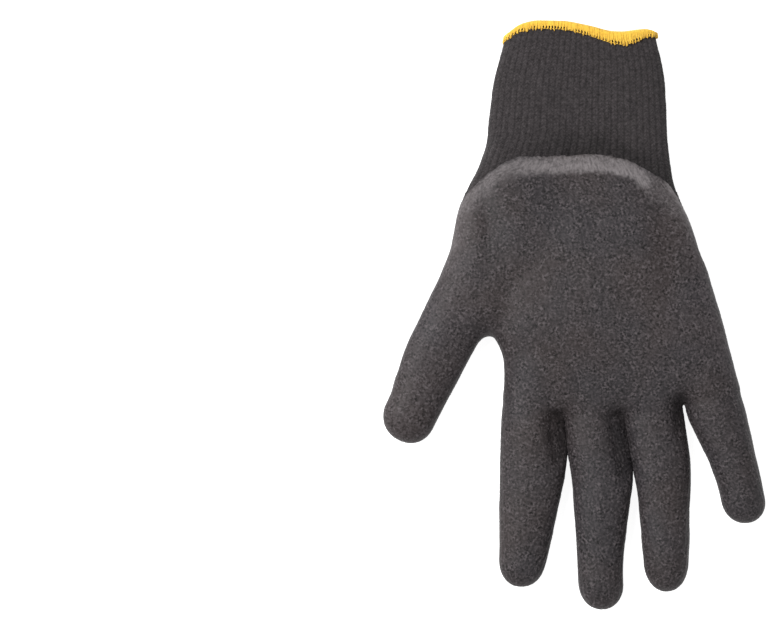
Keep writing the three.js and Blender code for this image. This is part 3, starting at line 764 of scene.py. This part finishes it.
def stitched(tree, across, along, wide, high):
    """Height of a field of knitted loops: columns of V shapes, wide apart and high in each row."""
    column = put(tree, "Math", (across, wide), operation="DIVIDE")[0]
    column = put(tree, "Math", (column,), operation="FRACT")[0]
    side = put(tree, "Math", (column, 0.5), operation="SUBTRACT")[0]
    side = put(tree, "Math", (side,), operation="ABSOLUTE")[0]
    side = put(tree, "Math", (side, 2.0), operation="MULTIPLY")[0]
    row = put(tree, "Math", (along, high), operation="DIVIDE")[0]
    row = put(tree, "Math", (side, LEG_SLANT, row), operation="MULTIPLY_ADD")[0]
    leg = put(tree, "Math", (row, 2 * np.pi), operation="MULTIPLY")[0]
    leg = put(tree, "Math", (leg,), operation="SINE")[0]
    leg = put(tree, "Math", (leg, 0.3, 0.7), operation="MULTIPLY_ADD")[0]
    crown = put(tree, "Math", (side, 3.0), operation="POWER")[0]
    crown = put(tree, "Math", (1.0, crown), operation="SUBTRACT")[0]
    groove = put(tree, "MapRange", {"Value": side, "From Min": 0.0, "From Max": 0.22, "To Min": 0.72})[0]
    crown = put(tree, "Math", (crown, groove), operation="MULTIPLY")[0]
    return put(tree, "Math", (crown, leg), operation="MULTIPLY")[0]


def knitted_yarn(name, main, dark, wide, high, gap_shade, flecks):
    """Spun cotton and polyester yarn, knitted: matte, flecked charcoal, with painted shade in the gaps
    between its loops.
    """
    material, tree, shader = finish_named(name)
    place = put(tree, "TexCoord")["Object"]
    across = put(tree, "Attribute", attribute_name="wale")["Fac"]
    along = put(tree, "Attribute", attribute_name="course")["Fac"]
    deep = put(tree, "Attribute", attribute_name="deep")["Fac"]
    loops = stitched(tree, across, along, wide, high)
    # Spun fibres twist and fluff the yarn. Real tufts are about 0.3 mm apart. They are drawn 0.7 mm
    # apart, and the flecks of the yarn 1.4 mm, so that they show.
    fibre = put(tree, "TexNoise", {"Vector": place, "Scale": 1 / (0.7 * MM), "Detail": 4.0,
                                   "Roughness": 0.7})["Fac"]
    fleck = put(tree, "TexNoise", {"Vector": place, "Scale": 1 / (1.4 * MM), "Detail": 3.0,
                                   "Roughness": 0.65})["Fac"]
    lit = put(tree, "Math", (fibre, 1.2, -0.72), operation="MULTIPLY_ADD")[0]
    # The crowns of the loops are painted lighter and the gaps between them painted in shade; the deep value
    # adds more painted shade.
    lit = put(tree, "Math", (loops, 0.6, lit), operation="MULTIPLY_ADD")[0]
    lit = put(tree, "Math", (deep, -gap_shade, lit), operation="MULTIPLY_ADD")[0]
    # Painted light: some columns are lighter for a few rows, where they would stand prouder than others.
    lane = put(tree, "Math", (across, wide), operation="DIVIDE")[0]
    stretch = put(tree, "Math", (along, 6.0), operation="DIVIDE")[0]
    spot = put(tree, "CombineXYZ", (lane, stretch))[0]
    streak = put(tree, "TexNoise", {"Vector": spot, "Scale": 1.0, "Detail": 2.0})["Fac"]
    lit = put(tree, "Math", (streak, 0.8, lit), operation="MULTIPLY_ADD")[0]
    share = put(tree, "MapRange", {"Value": lit, "From Min": -0.45, "From Max": 0.95})[0]
    colour = put(tree, "Mix", {0: share, 6: dark, 7: main}, data_type="RGBA")[2]
    value = put(tree, "Math", (fleck, flecks, 1.0 - flecks / 2), operation="MULTIPLY_ADD")[0]
    colour = put(tree, "HueSaturation", {"Color": colour, "Value": value})[0]
    tree.links.new(colour, shader.inputs["Base Color"])
    shader.inputs["Roughness"].default_value = 0.92
    shader.inputs["Specular IOR Level"].default_value = 0.12
    shader.inputs["Sheen Weight"].default_value = 0.06
    shader.inputs["Sheen Roughness"].default_value = 0.6
    height = put(tree, "Math", (fibre, 0.35, loops), operation="MULTIPLY_ADD")[0]
    bump = put(tree, "Bump", {"Height": height, "Strength": 0.8, "Distance": 0.4 * MM})[0]
    tree.links.new(bump, shader.inputs["Normal"])
    return material


def overlock_thread():
    """Textured polyester thread, sewn over the raw edge: soft yellow strands, with painted shade in amber
    deep between them.
    """
    colours = bpy.context.scene.glove_colours
    material, tree, shader = finish_named("textured_polyester_thread")
    place = put(tree, "TexCoord")["Object"]
    shade = put(tree, "Attribute", attribute_name="shade")["Fac"]
    # The thread's filaments are far too fine to show. Their fuzz is drawn at 0.9 mm.
    fuzz = put(tree, "TexNoise", {"Vector": place, "Scale": 1 / (0.9 * MM), "Detail": 3.0})["Fac"]
    # The shade value holds painted shade, darker at the feet, inside the rim and where the needle thread dips
    # into the knit, with a random shift for each strand.
    share = put(tree, "Math", (fuzz, 1.2, -0.6), operation="MULTIPLY_ADD")[0]
    share = put(tree, "Math", (shade, share), operation="ADD")[0]
    colour = put(tree, "Mix", {0: share, 6: colours.thread_dark, 7: colours.thread}, data_type="RGBA")[2]
    tree.links.new(colour, shader.inputs["Base Color"])
    shader.inputs["Roughness"].default_value = 0.7
    shader.inputs["Specular IOR Level"].default_value = 0.3
    shader.inputs["Sheen Weight"].default_value = 0.2
    bump = put(tree, "Bump", {"Height": fuzz, "Strength": 0.5, "Distance": 0.2 * MM})[0]
    tree.links.new(bump, shader.inputs["Normal"])
    return material


@functools.lru_cache(maxsize=None)
def finish_for(what):
    """Each material is made once, when the first piece asks for it."""
    colours = bpy.context.scene.glove_colours
    sizes = bpy.context.scene.glove_sizes
    if what == "latex":
        return crinkled_latex()
    if what == "knit_yarn":
        return knitted_yarn("plain_knit_cotton_polyester", colours.yarn, colours.yarn_dark,
                            sizes.wale / MM, sizes.course / MM, 0.5, 1.1)
    if what == "rib_yarn":
        # The ribs are counted, not measured, so a rib is 1 wide.
        return knitted_yarn("rib_knit_cotton_polyester", colours.rib, colours.rib_dark,
                            1.0, RIB_ROW, 0.35, 2.1)
    return overlock_thread()


# The pieces.

def slid_to_edge(points, faces, inside):
    """Corners just past the dip's edge slide back onto it, so that the edge is a clean line."""
    points = points.copy()
    past = np.unique(faces[inside[faces] < 0.0])
    spots = points[past]
    for _ in range(3):
        here = hand_facts(spots)[0]
        slope = np.stack([(hand_facts(spots + s)[0] - hand_facts(spots - s)[0]) / 0.6
                          for s in np.eye(3) * 0.3], axis=1)
        spots = spots - (here / np.maximum((slope ** 2).sum(axis=1), 0.3))[:, None] * slope * 0.8
        spots = hand_field().settle(spots, rounds=1)
    moved = np.linalg.norm(spots - points[past], axis=1)
    points[past] = np.where((moved < 1.5)[:, None], spots, points[past])
    return points


def painted_light_and_shade(points, normal):
    """Painted shade in the creases, and painted light on the thumb and the outer side of the palm, most of
    all where that turns down."""
    x, y = points[:, 0], points[:, 1]
    painted_lit_sides = 0.14 * ease((-x - 38.0) / 12.0) + 0.12 * ease((x - 28.0) / 10.0) * ease((y + 30.0) / 20.0)
    outward = ease((normal[:, 0] - 0.2) / 0.4) * ease((x - 30.0) / 10.0) * ease((y + 40.0) / 20.0)
    painted_crease_shade = crease_depth(x, y) * ease((points[:, 2] - 6.0) / 4.0)
    return painted_lit_sides + 0.34 * outward - 0.1 * painted_crease_shade


def thin_share(points, inside):
    """How far the knit shows through the latex, by the place and its distance inside the dip's edge."""
    x, y = points[:, 0], points[:, 1]
    # Near the cuff a wide band is thin, blurred out towards the thumb.
    towards_thumb = ease((-x - 14.0) / 22.0)
    band = 7.4 + 0.8 * soft_noise(points, 4.0, 27) + 0.8 * soft_noise(points, 1.6, 28)
    band = band - 2.2 * ease((x - 28.0) / 8.0) - 1.4 * towards_thumb
    blur = 1.7 + 3.5 * towards_thumb
    thin = 1.0 - ease((inside - band + blur) / (2.0 * blur))
    thin = thin * ease((y - 22.0 + 14.0 * towards_thumb) / 26.0)
    thin = thin * (0.62 + 0.32 * ease((x + 40.0) / 24.0) + 0.14 * ease((x - 12.0) / 10.0)
                   - 0.7 * ease((x - 29.0) / 5.0))
    thin = thin * (0.2 + 0.55 * ease((inside + 0.2 + 0.8 * soft_noise(points, 1.4, 29)) / 2.0)
                   + 0.37 * np.clip(inside / 6.0, 0.0, 1.0))
    # Towards the little finger only a thin bright line of it is left, and that runs on along the side.
    line = (1.0 - ease((inside - 1.0) / 2.4)) * ease((x - 36.0) / 5.0) * ease((y - 18.0) / 16.0)
    edge = (1.0 - ease(inside / 2.6)) * ease((34.0 - y) / 10.0)
    return np.maximum(np.maximum(thin, 1.1 * line), 0.6 * edge)


class LatexDip(bpy.types.Operator):
    """The crinkled latex over the palm, the fronts of the fingers and round their tips"""
    bl_idname = "glove.latex_dip"
    bl_label = "Latex dip"

    def execute(self, context):
        sizes = context.scene.glove_sizes
        field = hand_field()
        points, faces = hand_skin()
        inside, across, up = hand_facts(points)[:3]
        keep = (inside[faces] > 0.0).any(axis=1) & (inside[faces].min(axis=1) > -1.2)
        faces = faces[keep]
        points = slid_to_edge(points, faces, inside)
        inside = np.maximum(hand_facts(points)[0], 0.0)
        # The dip reaches its full thickness 5.5 mm inside its edge. Raised veins with finer grains between
        # them wrinkle it, less towards the fingertips, where the knit's columns show through more.
        normal = field.normal(points)
        body = ease(inside / 5.5)
        thick = sizes.latex_edge / MM + (sizes.latex - sizes.latex_edge) / MM * body
        cell = sizes.crinkle_cell / MM
        bent = points + 0.5 * np.stack([soft_noise(points, 2.3, s) for s in (21, 22, 23)], axis=1)
        vein = 1.0 - 2.0 * np.abs(soft_noise(bent, cell, 24))
        grain = 1.3 * soft_noise(bent, cell * 0.7, 25)
        strong = 0.85 + 0.25 * soft_noise(points, 13.0, 26)
        crest_painted_light_and_shade = 0.4 * (vein - 0.3) + 0.6 * grain
        tips = ease((-points[:, 1] - 60.0) / 50.0)
        strong = strong * (1.0 - 0.35 * tips) * (0.12 + 0.88 * body)
        wales = np.cos(2 * np.pi * across / (sizes.wale / MM)) * (0.04 + 0.05 * tips)
        lift = thick + sizes.crinkle / MM * crest_painted_light_and_shade * strong + wales + sway(points)
        outer = points + normal * lift[:, None]
        # Besides the wrinkles' crests and grooves, this value carries painted shade in the creases and
        # painted light on the thumb and the outer side of the palm.
        crest_painted_light_and_shade = np.clip(0.5 + 0.5 * crest_painted_light_and_shade * strong + painted_light_and_shade(points, normal), 0.0, 1.0)
        thin = thin_share(points, inside)
        # The edge turns down into the knit.
        rim = rim_edges(faces)
        rim = rim[points[rim].mean(axis=1)[:, 1] < SKIN_TOP - 2.0]
        ends = np.unique(rim)
        below = outer[ends] - normal[ends] * (lift[ends] + 0.5)[:, None]
        number = np.zeros(len(points), dtype=np.int64)
        number[ends] = np.arange(len(ends)) + len(outer)
        skirt = np.stack([rim[:, 1], rim[:, 0], number[rim[:, 0]], number[rim[:, 1]]], axis=1)
        every = np.concatenate([outer, below])
        facts = {key: np.concatenate([value, value[ends]]) for key, value in
                 (("crest_painted_light_and_shade", crest_painted_light_and_shade), ("thin", thin), ("wale", across), ("course", up))}
        fingers = points[faces].mean(axis=1)[:, 1] < FINGER_ROOTS
        skirt_low = points[rim].mean(axis=1)[:, 1] < FINGER_ROOTS
        for name, low in (("latex_palm", False), ("latex_fingers", True)):
            mine = np.concatenate([faces[fingers == low], skirt[skirt_low == low]])
            make_piece(name, every, mine, facts, finish_for("latex"), ("latex_coating",))
        return {"FINISHED"}


class KnittedHand(bpy.types.Operator):
    """The plain knit of the palm and the five stalls, as far as the latex leaves it bare"""
    bl_idname = "glove.knitted_hand"
    bl_label = "Knitted hand"

    def execute(self, context):
        sizes = context.scene.glove_sizes
        field = hand_field()
        points, faces = hand_skin()
        inside, across, up, owner = hand_facts(points)
        bare = (inside[faces].min(axis=1) < 2.5) & (points[faces].mean(axis=1)[:, 1] < KNIT_TOP)
        faces = faces[bare]
        side = np.abs(np.mod(across / (sizes.wale / MM), 1.0) - 0.5) * 2.0
        row = np.sin(2 * np.pi * (up / (sizes.course / MM) + LEG_SLANT * side))
        loop = 0.26 * (1 - side ** 2.5) * (0.7 + 0.3 * row)
        lift = loop - 0.14 + sway(points)
        outer = points + field.normal(points) * lift[:, None]
        # Painted shade in the gaps between the columns of loops.
        deep = np.clip(side - 0.4, 0.0, 1.0)
        facts = {"wale": across, "course": up, "deep": deep}
        whose = owner[faces[:, 0]]
        names = ("knit_palm",) + tuple(f + "_stall" for f in FINGERS) + ("thumb_stall",)
        for number, node in enumerate(names):
            make_piece("plain_" + node, outer, faces[whose == number], facts, finish_for("knit_yarn"),
                       (node,))
        return {"FINISHED"}


def cuff_ring(heights, columns):
    """Points round the cuff, evenly spaced, at a height for each column: rows by columns by 3."""
    field = hand_field()
    angle = np.linspace(0, 2 * np.pi, 721)[:-1]
    rows = []
    for height in heights:
        level = np.linspace(height.min(), height.max(), 5)
        if np.ptp(height) <= 0.4:
            level = [height.mean()]
        rings = []
        for y in level:
            at, middle, _, low, top = TUBES["palm"].table
            cx = np.interp(-y, at, middle)
            cz = (np.interp(-y, at, low) + np.interp(-y, at, top)) / 2
            centre = np.array([cx, y, cz])
            ray = np.stack([np.cos(angle), np.zeros_like(angle), np.sin(angle)], axis=1)
            near = np.full(len(angle), 2.0)
            far = np.full(len(angle), 56.0)
            for _ in range(16):
                half_way = (near + far) / 2
                out = field.at(centre + ray * half_way[:, None]) > 0.0
                far = np.where(out, half_way, far)
                near = np.where(out, near, half_way)
            ring = centre + ray * near[:, None]
            run = np.concatenate([[0.0], np.cumsum(np.linalg.norm(np.roll(ring, -1, axis=0) - ring, axis=1))])
            loop = np.concatenate([ring, ring[:1]])
            want = np.arange(columns) / columns * run[-1]
            rings.append(np.stack([np.interp(want, run, loop[:, i]) for i in range(3)], axis=1))
        rings = np.array(rings)
        if len(level) == 1:
            row = rings[0].copy()
        else:
            share = (height - level[0]) / (level[-1] - level[0]) * (len(level) - 1)
            low = np.clip(np.floor(share).astype(int), 0, len(level) - 2)
            part = (share - low)[:, None]
            pick = np.arange(columns)
            row = rings[low, pick] * (1 - part) + rings[low + 1, pick] * part
        row[:, 1] = height
        rows.append(row)
    return np.array(rows)


def rim_heights(columns):
    """The hem's top edge and the height of its band at each column."""
    share = np.arange(columns) / columns
    table = rounded_table(RIM_ROWS, spread=0.012, step=0.002)
    return np.interp(share, table[0], table[1]), np.interp(share, table[0], table[2])


class RibCuff(bpy.types.Operator):
    """The rib-knit cuff, from the wrist to the hem, with the raised ribs as real relief"""
    bl_idname = "glove.rib_cuff"
    bl_label = "Rib cuff"

    def execute(self, context):
        sizes = context.scene.glove_sizes
        # Nine corners to a rib, and rows less than a millimetre apart, show the relief.
        per_rib = 9
        columns = sizes.ribs * per_rib
        top = rim_heights(columns)[0]
        count = 120
        share = np.linspace(0, 1, count)[:, None]
        heights = CUFF_LOW + (top - 0.7 - CUFF_LOW)[None, :] * share
        ring = cuff_ring(heights, columns)
        points = ring.reshape(-1, 3)
        normal = hand_field().normal(points)
        round_rib = np.tile(np.arange(columns) % per_rib / per_rib, count)
        along = points[:, 1]
        wobble = 0.06 * soft_noise(points, 6.0, 31)
        side = np.abs(np.mod(round_rib + wobble, 1.0) - 0.5) * 2.0
        rib = 1.0 - side ** 2.2
        row = np.sin(2 * np.pi * (along / RIB_ROW + 0.4 * side) + 2.0 * soft_noise(points, 3.0, 32))
        uneven = 0.8 + 0.5 * soft_noise(points * np.array([1.0, 0.35, 1.0]), 3.0, 33)
        relief = sizes.rib_depth / MM * (rib * uneven + 0.12 * row * rib) - 0.3
        relief = relief + 0.09 * soft_noise(points, 1.7, 35) + 0.05 * soft_noise(points, 0.9, 36)
        outer = points + normal * (relief + sway(points))[:, None]
        number = np.tile(np.arange(columns) / per_rib, count)
        # Painted shade on the ribs where the dip holds them down, most of all towards the little finger.
        below = np.minimum(hand_facts(points)[0], 0.0)
        shaded = np.exp(-(below / (9.0 + 3.0 * soft_noise(points, 14.0, 34))) ** 2)
        painted_cuff_shade = 2.0 * shaded * (0.35 + 0.65 * ease((points[:, 0] + 30.0) / 30.0))
        painted_cuff_shade = painted_cuff_shade * ease((points[:, 2] - 7.0) / 4.0)
        # The deep value is painted shade, in the gaps between the ribs and below the dip.
        facts = {"wale": number + wobble, "course": along,
                 "deep": np.clip(side - 0.35, 0.0, 1.0) * 0.7 + painted_cuff_shade}
        # A second set of corners on the closing line lets the ribs' numbers run on past it.
        first = np.arange(count) * columns
        outer = np.concatenate([outer, outer[first]])
        facts = {key: np.concatenate([value, value[first]]) for key, value in facts.items()}
        facts["wale"][-count:] += sizes.ribs
        faces = grid_faces(count, columns)
        closing = np.arange(count - 1) * columns + columns - 1
        last = np.arange(count - 1) + count * columns
        faces[closing, 1], faces[closing, 2] = last, last + 1
        make_piece("rib_knit_cuff", outer, faces, facts, finish_for("rib_yarn"), ("rib_cuff",))
        return {"FINISHED"}


# Section of the hem's wrap, from its foot up the outside, over the rim and down inside. Rows: part, share
# of the band's height, the most above the foot, how far it bulges, how far the strands of a stitch fan
# out, their thickness and their painted shade, darker at the foot and inside the rim.
HEM_SECTION = (
    ("out", 0.0, 0.0, 0.1, 0.5, 0.7, 0.5),
    ("out", 0.15, 0.55, 0.3, 1.0, 1.0, 0.75),
    ("out", 0.29, 1.0, 0.35, 1.0, 0.9, 0.85),
    ("out", 0.43, 1.5, 0.35, 1.0, 0.85, 0.9),
    ("out", 0.6, 9.0, 0.4, 1.0, 1.0, 0.95),
    ("out", 0.77, 9.0, 0.45, 1.0, 1.1, 1.0),
    ("out", 0.92, 9.0, 0.1, 1.0, 1.15, 1.0),
    ("over", 1.0, 9.0, 0.0, 1.0, 1.15, 1.0),
    ("in", 0.88, 9.0, 0.0, 1.0, 1.1, 0.9),
    ("in", 0.6, 9.0, 0.0, 0.9, 1.0, 0.8),
    ("in", 0.25, 9.0, 0.0, 0.8, 0.8, 0.7),
)
# How far each part of the wrap lies out from the knit's outer surface.
HEM_OFF = {"out": 0.55, "over": -0.8, "in": -2.6}


def hem_path(columns):
    """The wrap's section at each column round the rim, and the directions straight out of the knit."""
    top, band = rim_heights(columns)
    rings = []
    for part, share, most, *_ in HEM_SECTION:
        height = top - band + np.minimum(band * share, most)
        rings.append(cuff_ring(np.array([height - (0.0 if part == "over" else 0.15)]), columns)[0])
    normal = hand_field().normal(rings[3])
    normal[:, 1] = 0.0
    normal /= np.linalg.norm(normal, axis=1, keepdims=True)
    # At the thumb's side the band is drawn in flatter.
    flat = 1.0 - 0.75 * np.exp(-((np.arange(columns) / columns - 0.485) / 0.03) ** 2)
    path = []
    for ring, (part, _, _, bulge, *_) in zip(rings, HEM_SECTION):
        off = (HEM_OFF[part] + bulge) * (flat if part == "out" else np.ones(columns))
        path.append(ring + normal * (off + sway(ring))[:, None])
    path = np.array(path)
    # The hem lies on the table, and isn't pressed into it.
    path[:, :, 2] = np.maximum(path[:, :, 2], HEM_GAP)
    return path, normal


def unit(vectors):
    """The same directions, each 1 long."""
    return vectors / np.linalg.norm(vectors, axis=1, keepdims=True)


class OverlockHem(bpy.types.Operator):
    """The yellow overlock stitches that wrap the rim of the cuff, each strand by itself"""
    bl_idname = "glove.overlock_hem"
    bl_label = "Overlock hem"

    def execute(self, context):
        sizes = context.scene.glove_sizes
        # Three strands to a stitch, eight columns to a strand, six sides to a strand's tube.
        strands_each, fine, ring_sides = 3, 8, 6
        strands = sizes.hem_stitches * strands_each
        radius = sizes.hem_thread / MM / 2
        columns = strands * fine
        path, normal = hem_path(columns)
        stations = np.arange(len(path))
        fan, girth, station_shade = np.array([row[4:] for row in HEM_SECTION]).T
        stitch = np.arange(strands) // strands_each
        within = np.arange(strands) % strands_each - (strands_each - 1) / 2
        # For each strand: how far it strays along the rim, its foot's height, its lift and how light it is at
        # random, and its thickness.
        jitter = seeded(strands * 4, 41).reshape(4, strands) - 0.5
        # In many stitches the strands bunch up a little above the foot, which leaves small dark holes.
        bunched = seeded(sizes.hem_stitches, 42)
        bunched = np.where(bunched < 0.72, 0.6 * bunched, 1.0)
        # Some stitches reach further down than others, so the hem's lower edge is jagged.
        reach = seeded(sizes.hem_stitches, 44)
        corners, faces, shade = [], [], []
        turns = np.arange(ring_sides) / ring_sides * 2 * np.pi
        for n in range(strands):
            middle = (stitch[n] + 0.5) * strands_each * fine
            spread = fan.copy()
            spread[1:3] *= bunched[stitch[n]]
            # A strand leans along the rim on its way over it.
            where = middle + within[n] * spread * fine + (stations - 5) * 0.7 + jitter[0, n] * 1.6
            low = np.floor(where).astype(int)
            part = (where - low)[:, None]
            line = path[stations, low % columns] * (1 - part) + path[stations, (low + 1) % columns] * part
            line[0, 1] += 0.9 * jitter[1, n] + 1.1 * (0.5 - reach[stitch[n]])
            outward = normal[int(middle) % columns]
            line += outward * jitter[2, n] * 0.25
            tangent = unit(np.gradient(line, axis=0))
            side = unit(np.cross(tangent, np.cross(outward, [0, 1, 0])))
            other = np.cross(tangent, side)
            thick = radius * (1.0 + 0.25 * jitter[3, n]) * girth
            tube = line[:, None, :] + thick[:, None, None] * (
                np.cos(turns)[None, :, None] * side[:, None, :] * 0.9
                + np.sin(turns)[None, :, None] * other[:, None, :] * 1.15)
            faces.append(grid_faces(len(path), ring_sides) + n * len(path) * ring_sides)
            corners.append(tube.reshape(-1, 3))
            shade.append(np.repeat((0.9 + 0.34 * jitter[2, n]) * station_shade, ring_sides))
        # The needle thread runs round along the feet, in and out of the knit once a stitch.
        run = np.arange(0, columns, 2)
        dip = np.abs(np.sin(np.pi * run / (strands_each * fine)))
        needle = path[0, run] + normal[run] * (1.3 * dip - 1.2)[:, None]
        needle[:, 1] += 0.12 + 0.16 * soft_noise(needle, 2.6, 43)
        side = unit(np.cross(np.roll(needle, -1, axis=0) - np.roll(needle, 1, axis=0), normal[run]))
        needle = needle[:, None, :] + 0.9 * radius * (
            np.cos(turns)[None, :, None] * side[:, None, :]
            + np.sin(turns)[None, :, None] * normal[run][:, None, :])
        loop = grid_faces(len(run), ring_sides)
        last = grid_faces(2, ring_sides) + (len(run) - 1) * ring_sides
        last[:, 2:] -= len(run) * ring_sides
        corners.append(needle.reshape(-1, 3))
        faces.append(np.concatenate([loop, last]) + strands * len(path) * ring_sides)
        # Painted shade where the needle thread dips into the knit.
        shade.append(np.repeat(0.7 + 0.3 * dip, ring_sides))
        # A bed of thread fills in behind the strands, down to their needle line.
        coarse = np.arange(0, columns, fine)
        sunk = np.array([-0.3 if row[0] == "in" else 0.08 for row in HEM_SECTION[4:]])
        bed = path[4:, coarse] - normal[coarse][None] * sunk[:, None, None]
        faces.append(grid_faces(len(bed), len(coarse)) + sum(len(each) for each in corners))
        corners.append(bed.reshape(-1, 3))
        # Painted shade on the bed, darker at its lower edge and most of all inside the rim.
        shade.append(np.repeat([0.7, 0.9, 0.95, 0.95, 0.6, 0.4, 0.3], len(coarse)))
        make_piece("overlocked_hem", np.concatenate(corners), np.concatenate(faces),
                   {"shade": np.concatenate(shade)}, finish_for("thread"), ("overlock_hem",))
        return {"FINISHED"}


class InnerLining(bpy.types.Operator):
    """The inside of the knit, seen through the mouth"""
    bl_idname = "glove.inner_lining"
    bl_label = "Inside of the knit"

    def execute(self, context):
        field = hand_field()
        points, faces = field.surface(level=-1.5, skip=3, top=LINING_TOP + 1.5)
        across, up = hand_facts(points)[1:3]
        lift = sway(points)
        points = points + field.normal(points) * lift[:, None]
        faces = faces[points[faces].mean(axis=1)[:, 1] < LINING_TOP][:, ::-1]
        facts = {"wale": across, "course": up, "deep": np.zeros(len(points))}
        make_piece("knit_inside", points, faces, facts, finish_for("knit_yarn"))
        return {"FINISHED"}


class Stage(bpy.types.Operator):
    """Pale floor, soft light from the upper left and the camera straight above"""
    bl_idname = "glove.stage"
    bl_label = "Floor, light and camera"

    def execute(self, context):
        scene = context.scene
        mesh = bpy.data.meshes.new("floor")
        # The floor lies a fifth of a millimetre below the glove.
        corners = [(x, y, -0.2 * MM) for x, y in ((-3, -3), (3, -3), (3, 3), (-3, 3))]
        mesh.from_pydata(corners, [], [(0, 1, 2, 3)])
        floor = bpy.data.objects.new("floor", mesh)
        scene.collection.objects.link(floor)
        material, _, shader = finish_named("matte_pale_paper")
        shader.inputs["Base Color"].default_value = scene.glove_colours.floor
        shader.inputs["Roughness"].default_value = 1.0
        shader.inputs["Specular IOR Level"].default_value = 0.0
        # A light table: it glows a little, which keeps the shadows round the glove soft and pale.
        shader.inputs["Emission Color"].default_value = (1.0, 1.0, 1.0, 1.0)
        shader.inputs["Emission Strength"].default_value = 0.88
        mesh.materials.append(material)

        world = bpy.data.worlds.new("soft_room_light")
        scene.world = world
        world.use_nodes = True
        world.node_tree.nodes["Background"].inputs["Color"].default_value = (1.0, 1.0, 1.0, 1.0)
        world.node_tree.nodes["Background"].inputs["Strength"].default_value = 0.4
        for name, place, size, power in (
                ("window_light", (-0.92, 0.4, 1.28), 1.2, 33.5),
                ("fill_light", (0.7, -0.6, 1.2), 1.2, 2.4)):
            lamp = bpy.data.lights.new(name, "AREA")
            lamp.shape = "DISK"
            lamp.size = size
            lamp.energy = power
            holder = bpy.data.objects.new(name, lamp)
            holder.location = place
            aim = -np.array(place)
            flat = np.hypot(aim[0], aim[1])
            holder.rotation_euler = (np.arctan2(flat, -aim[2]), 0.0, np.arctan2(aim[1], aim[0]) - np.pi / 2)
            scene.collection.objects.link(holder)

        lens = bpy.data.cameras.new("camera_above")
        lens.sensor_width = 36.0
        lens.lens = 162.6
        lens.clip_end = 10.0
        camera = bpy.data.objects.new("camera_above", lens)
        # Straight above, so far to the side that the glove lies right of the picture's middle.
        camera.location = (-0.0827, 0.0003, 1.512)
        scene.collection.objects.link(camera)
        scene.camera = camera
        scene.view_settings.view_transform = "Standard"
        return {"FINISHED"}


class GloveMakerPanel(bpy.types.Panel):
    """The steps that dress the glove, and its sizes and colours"""
    bl_idname = "GLOVE_PT_maker"
    bl_label = "Grip glove"
    bl_space_type = "VIEW_3D"
    bl_region_type = "UI"
    bl_category = "Grip Glove"

    def draw(self, context):
        for group in (context.scene.glove_sizes, context.scene.glove_colours):
            box = self.layout.box()
            for key in group.__annotations__:
                box.prop(group, key)
        for step in STEPS:
            self.layout.operator(step.bl_idname)


STEPS = (Stage, LatexDip, KnittedHand, RibCuff, OverlockHem, InnerLining)
CLASSES = (GloveSizes, GloveColours) + STEPS + (GloveMakerPanel,)


def register():
    """Makes the sizes, the colours, the steps and the panel known to Blender."""
    for each in CLASSES:
        bpy.utils.register_class(each)
    bpy.types.Scene.glove_sizes = PointerProperty(type=GloveSizes)
    bpy.types.Scene.glove_colours = PointerProperty(type=GloveColours)


def unregister():
    """Takes them out again."""
    del bpy.types.Scene.glove_colours
    del bpy.types.Scene.glove_sizes
    for each in reversed(CLASSES):
        bpy.utils.unregister_class(each)


def main():
    """Dresses the glove step by step."""
    register()
    for step in STEPS:
        group, name = step.bl_idname.split(".")
        getattr(getattr(bpy.ops, group), name)()
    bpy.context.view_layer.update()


if __name__ == "__main__":
    main()
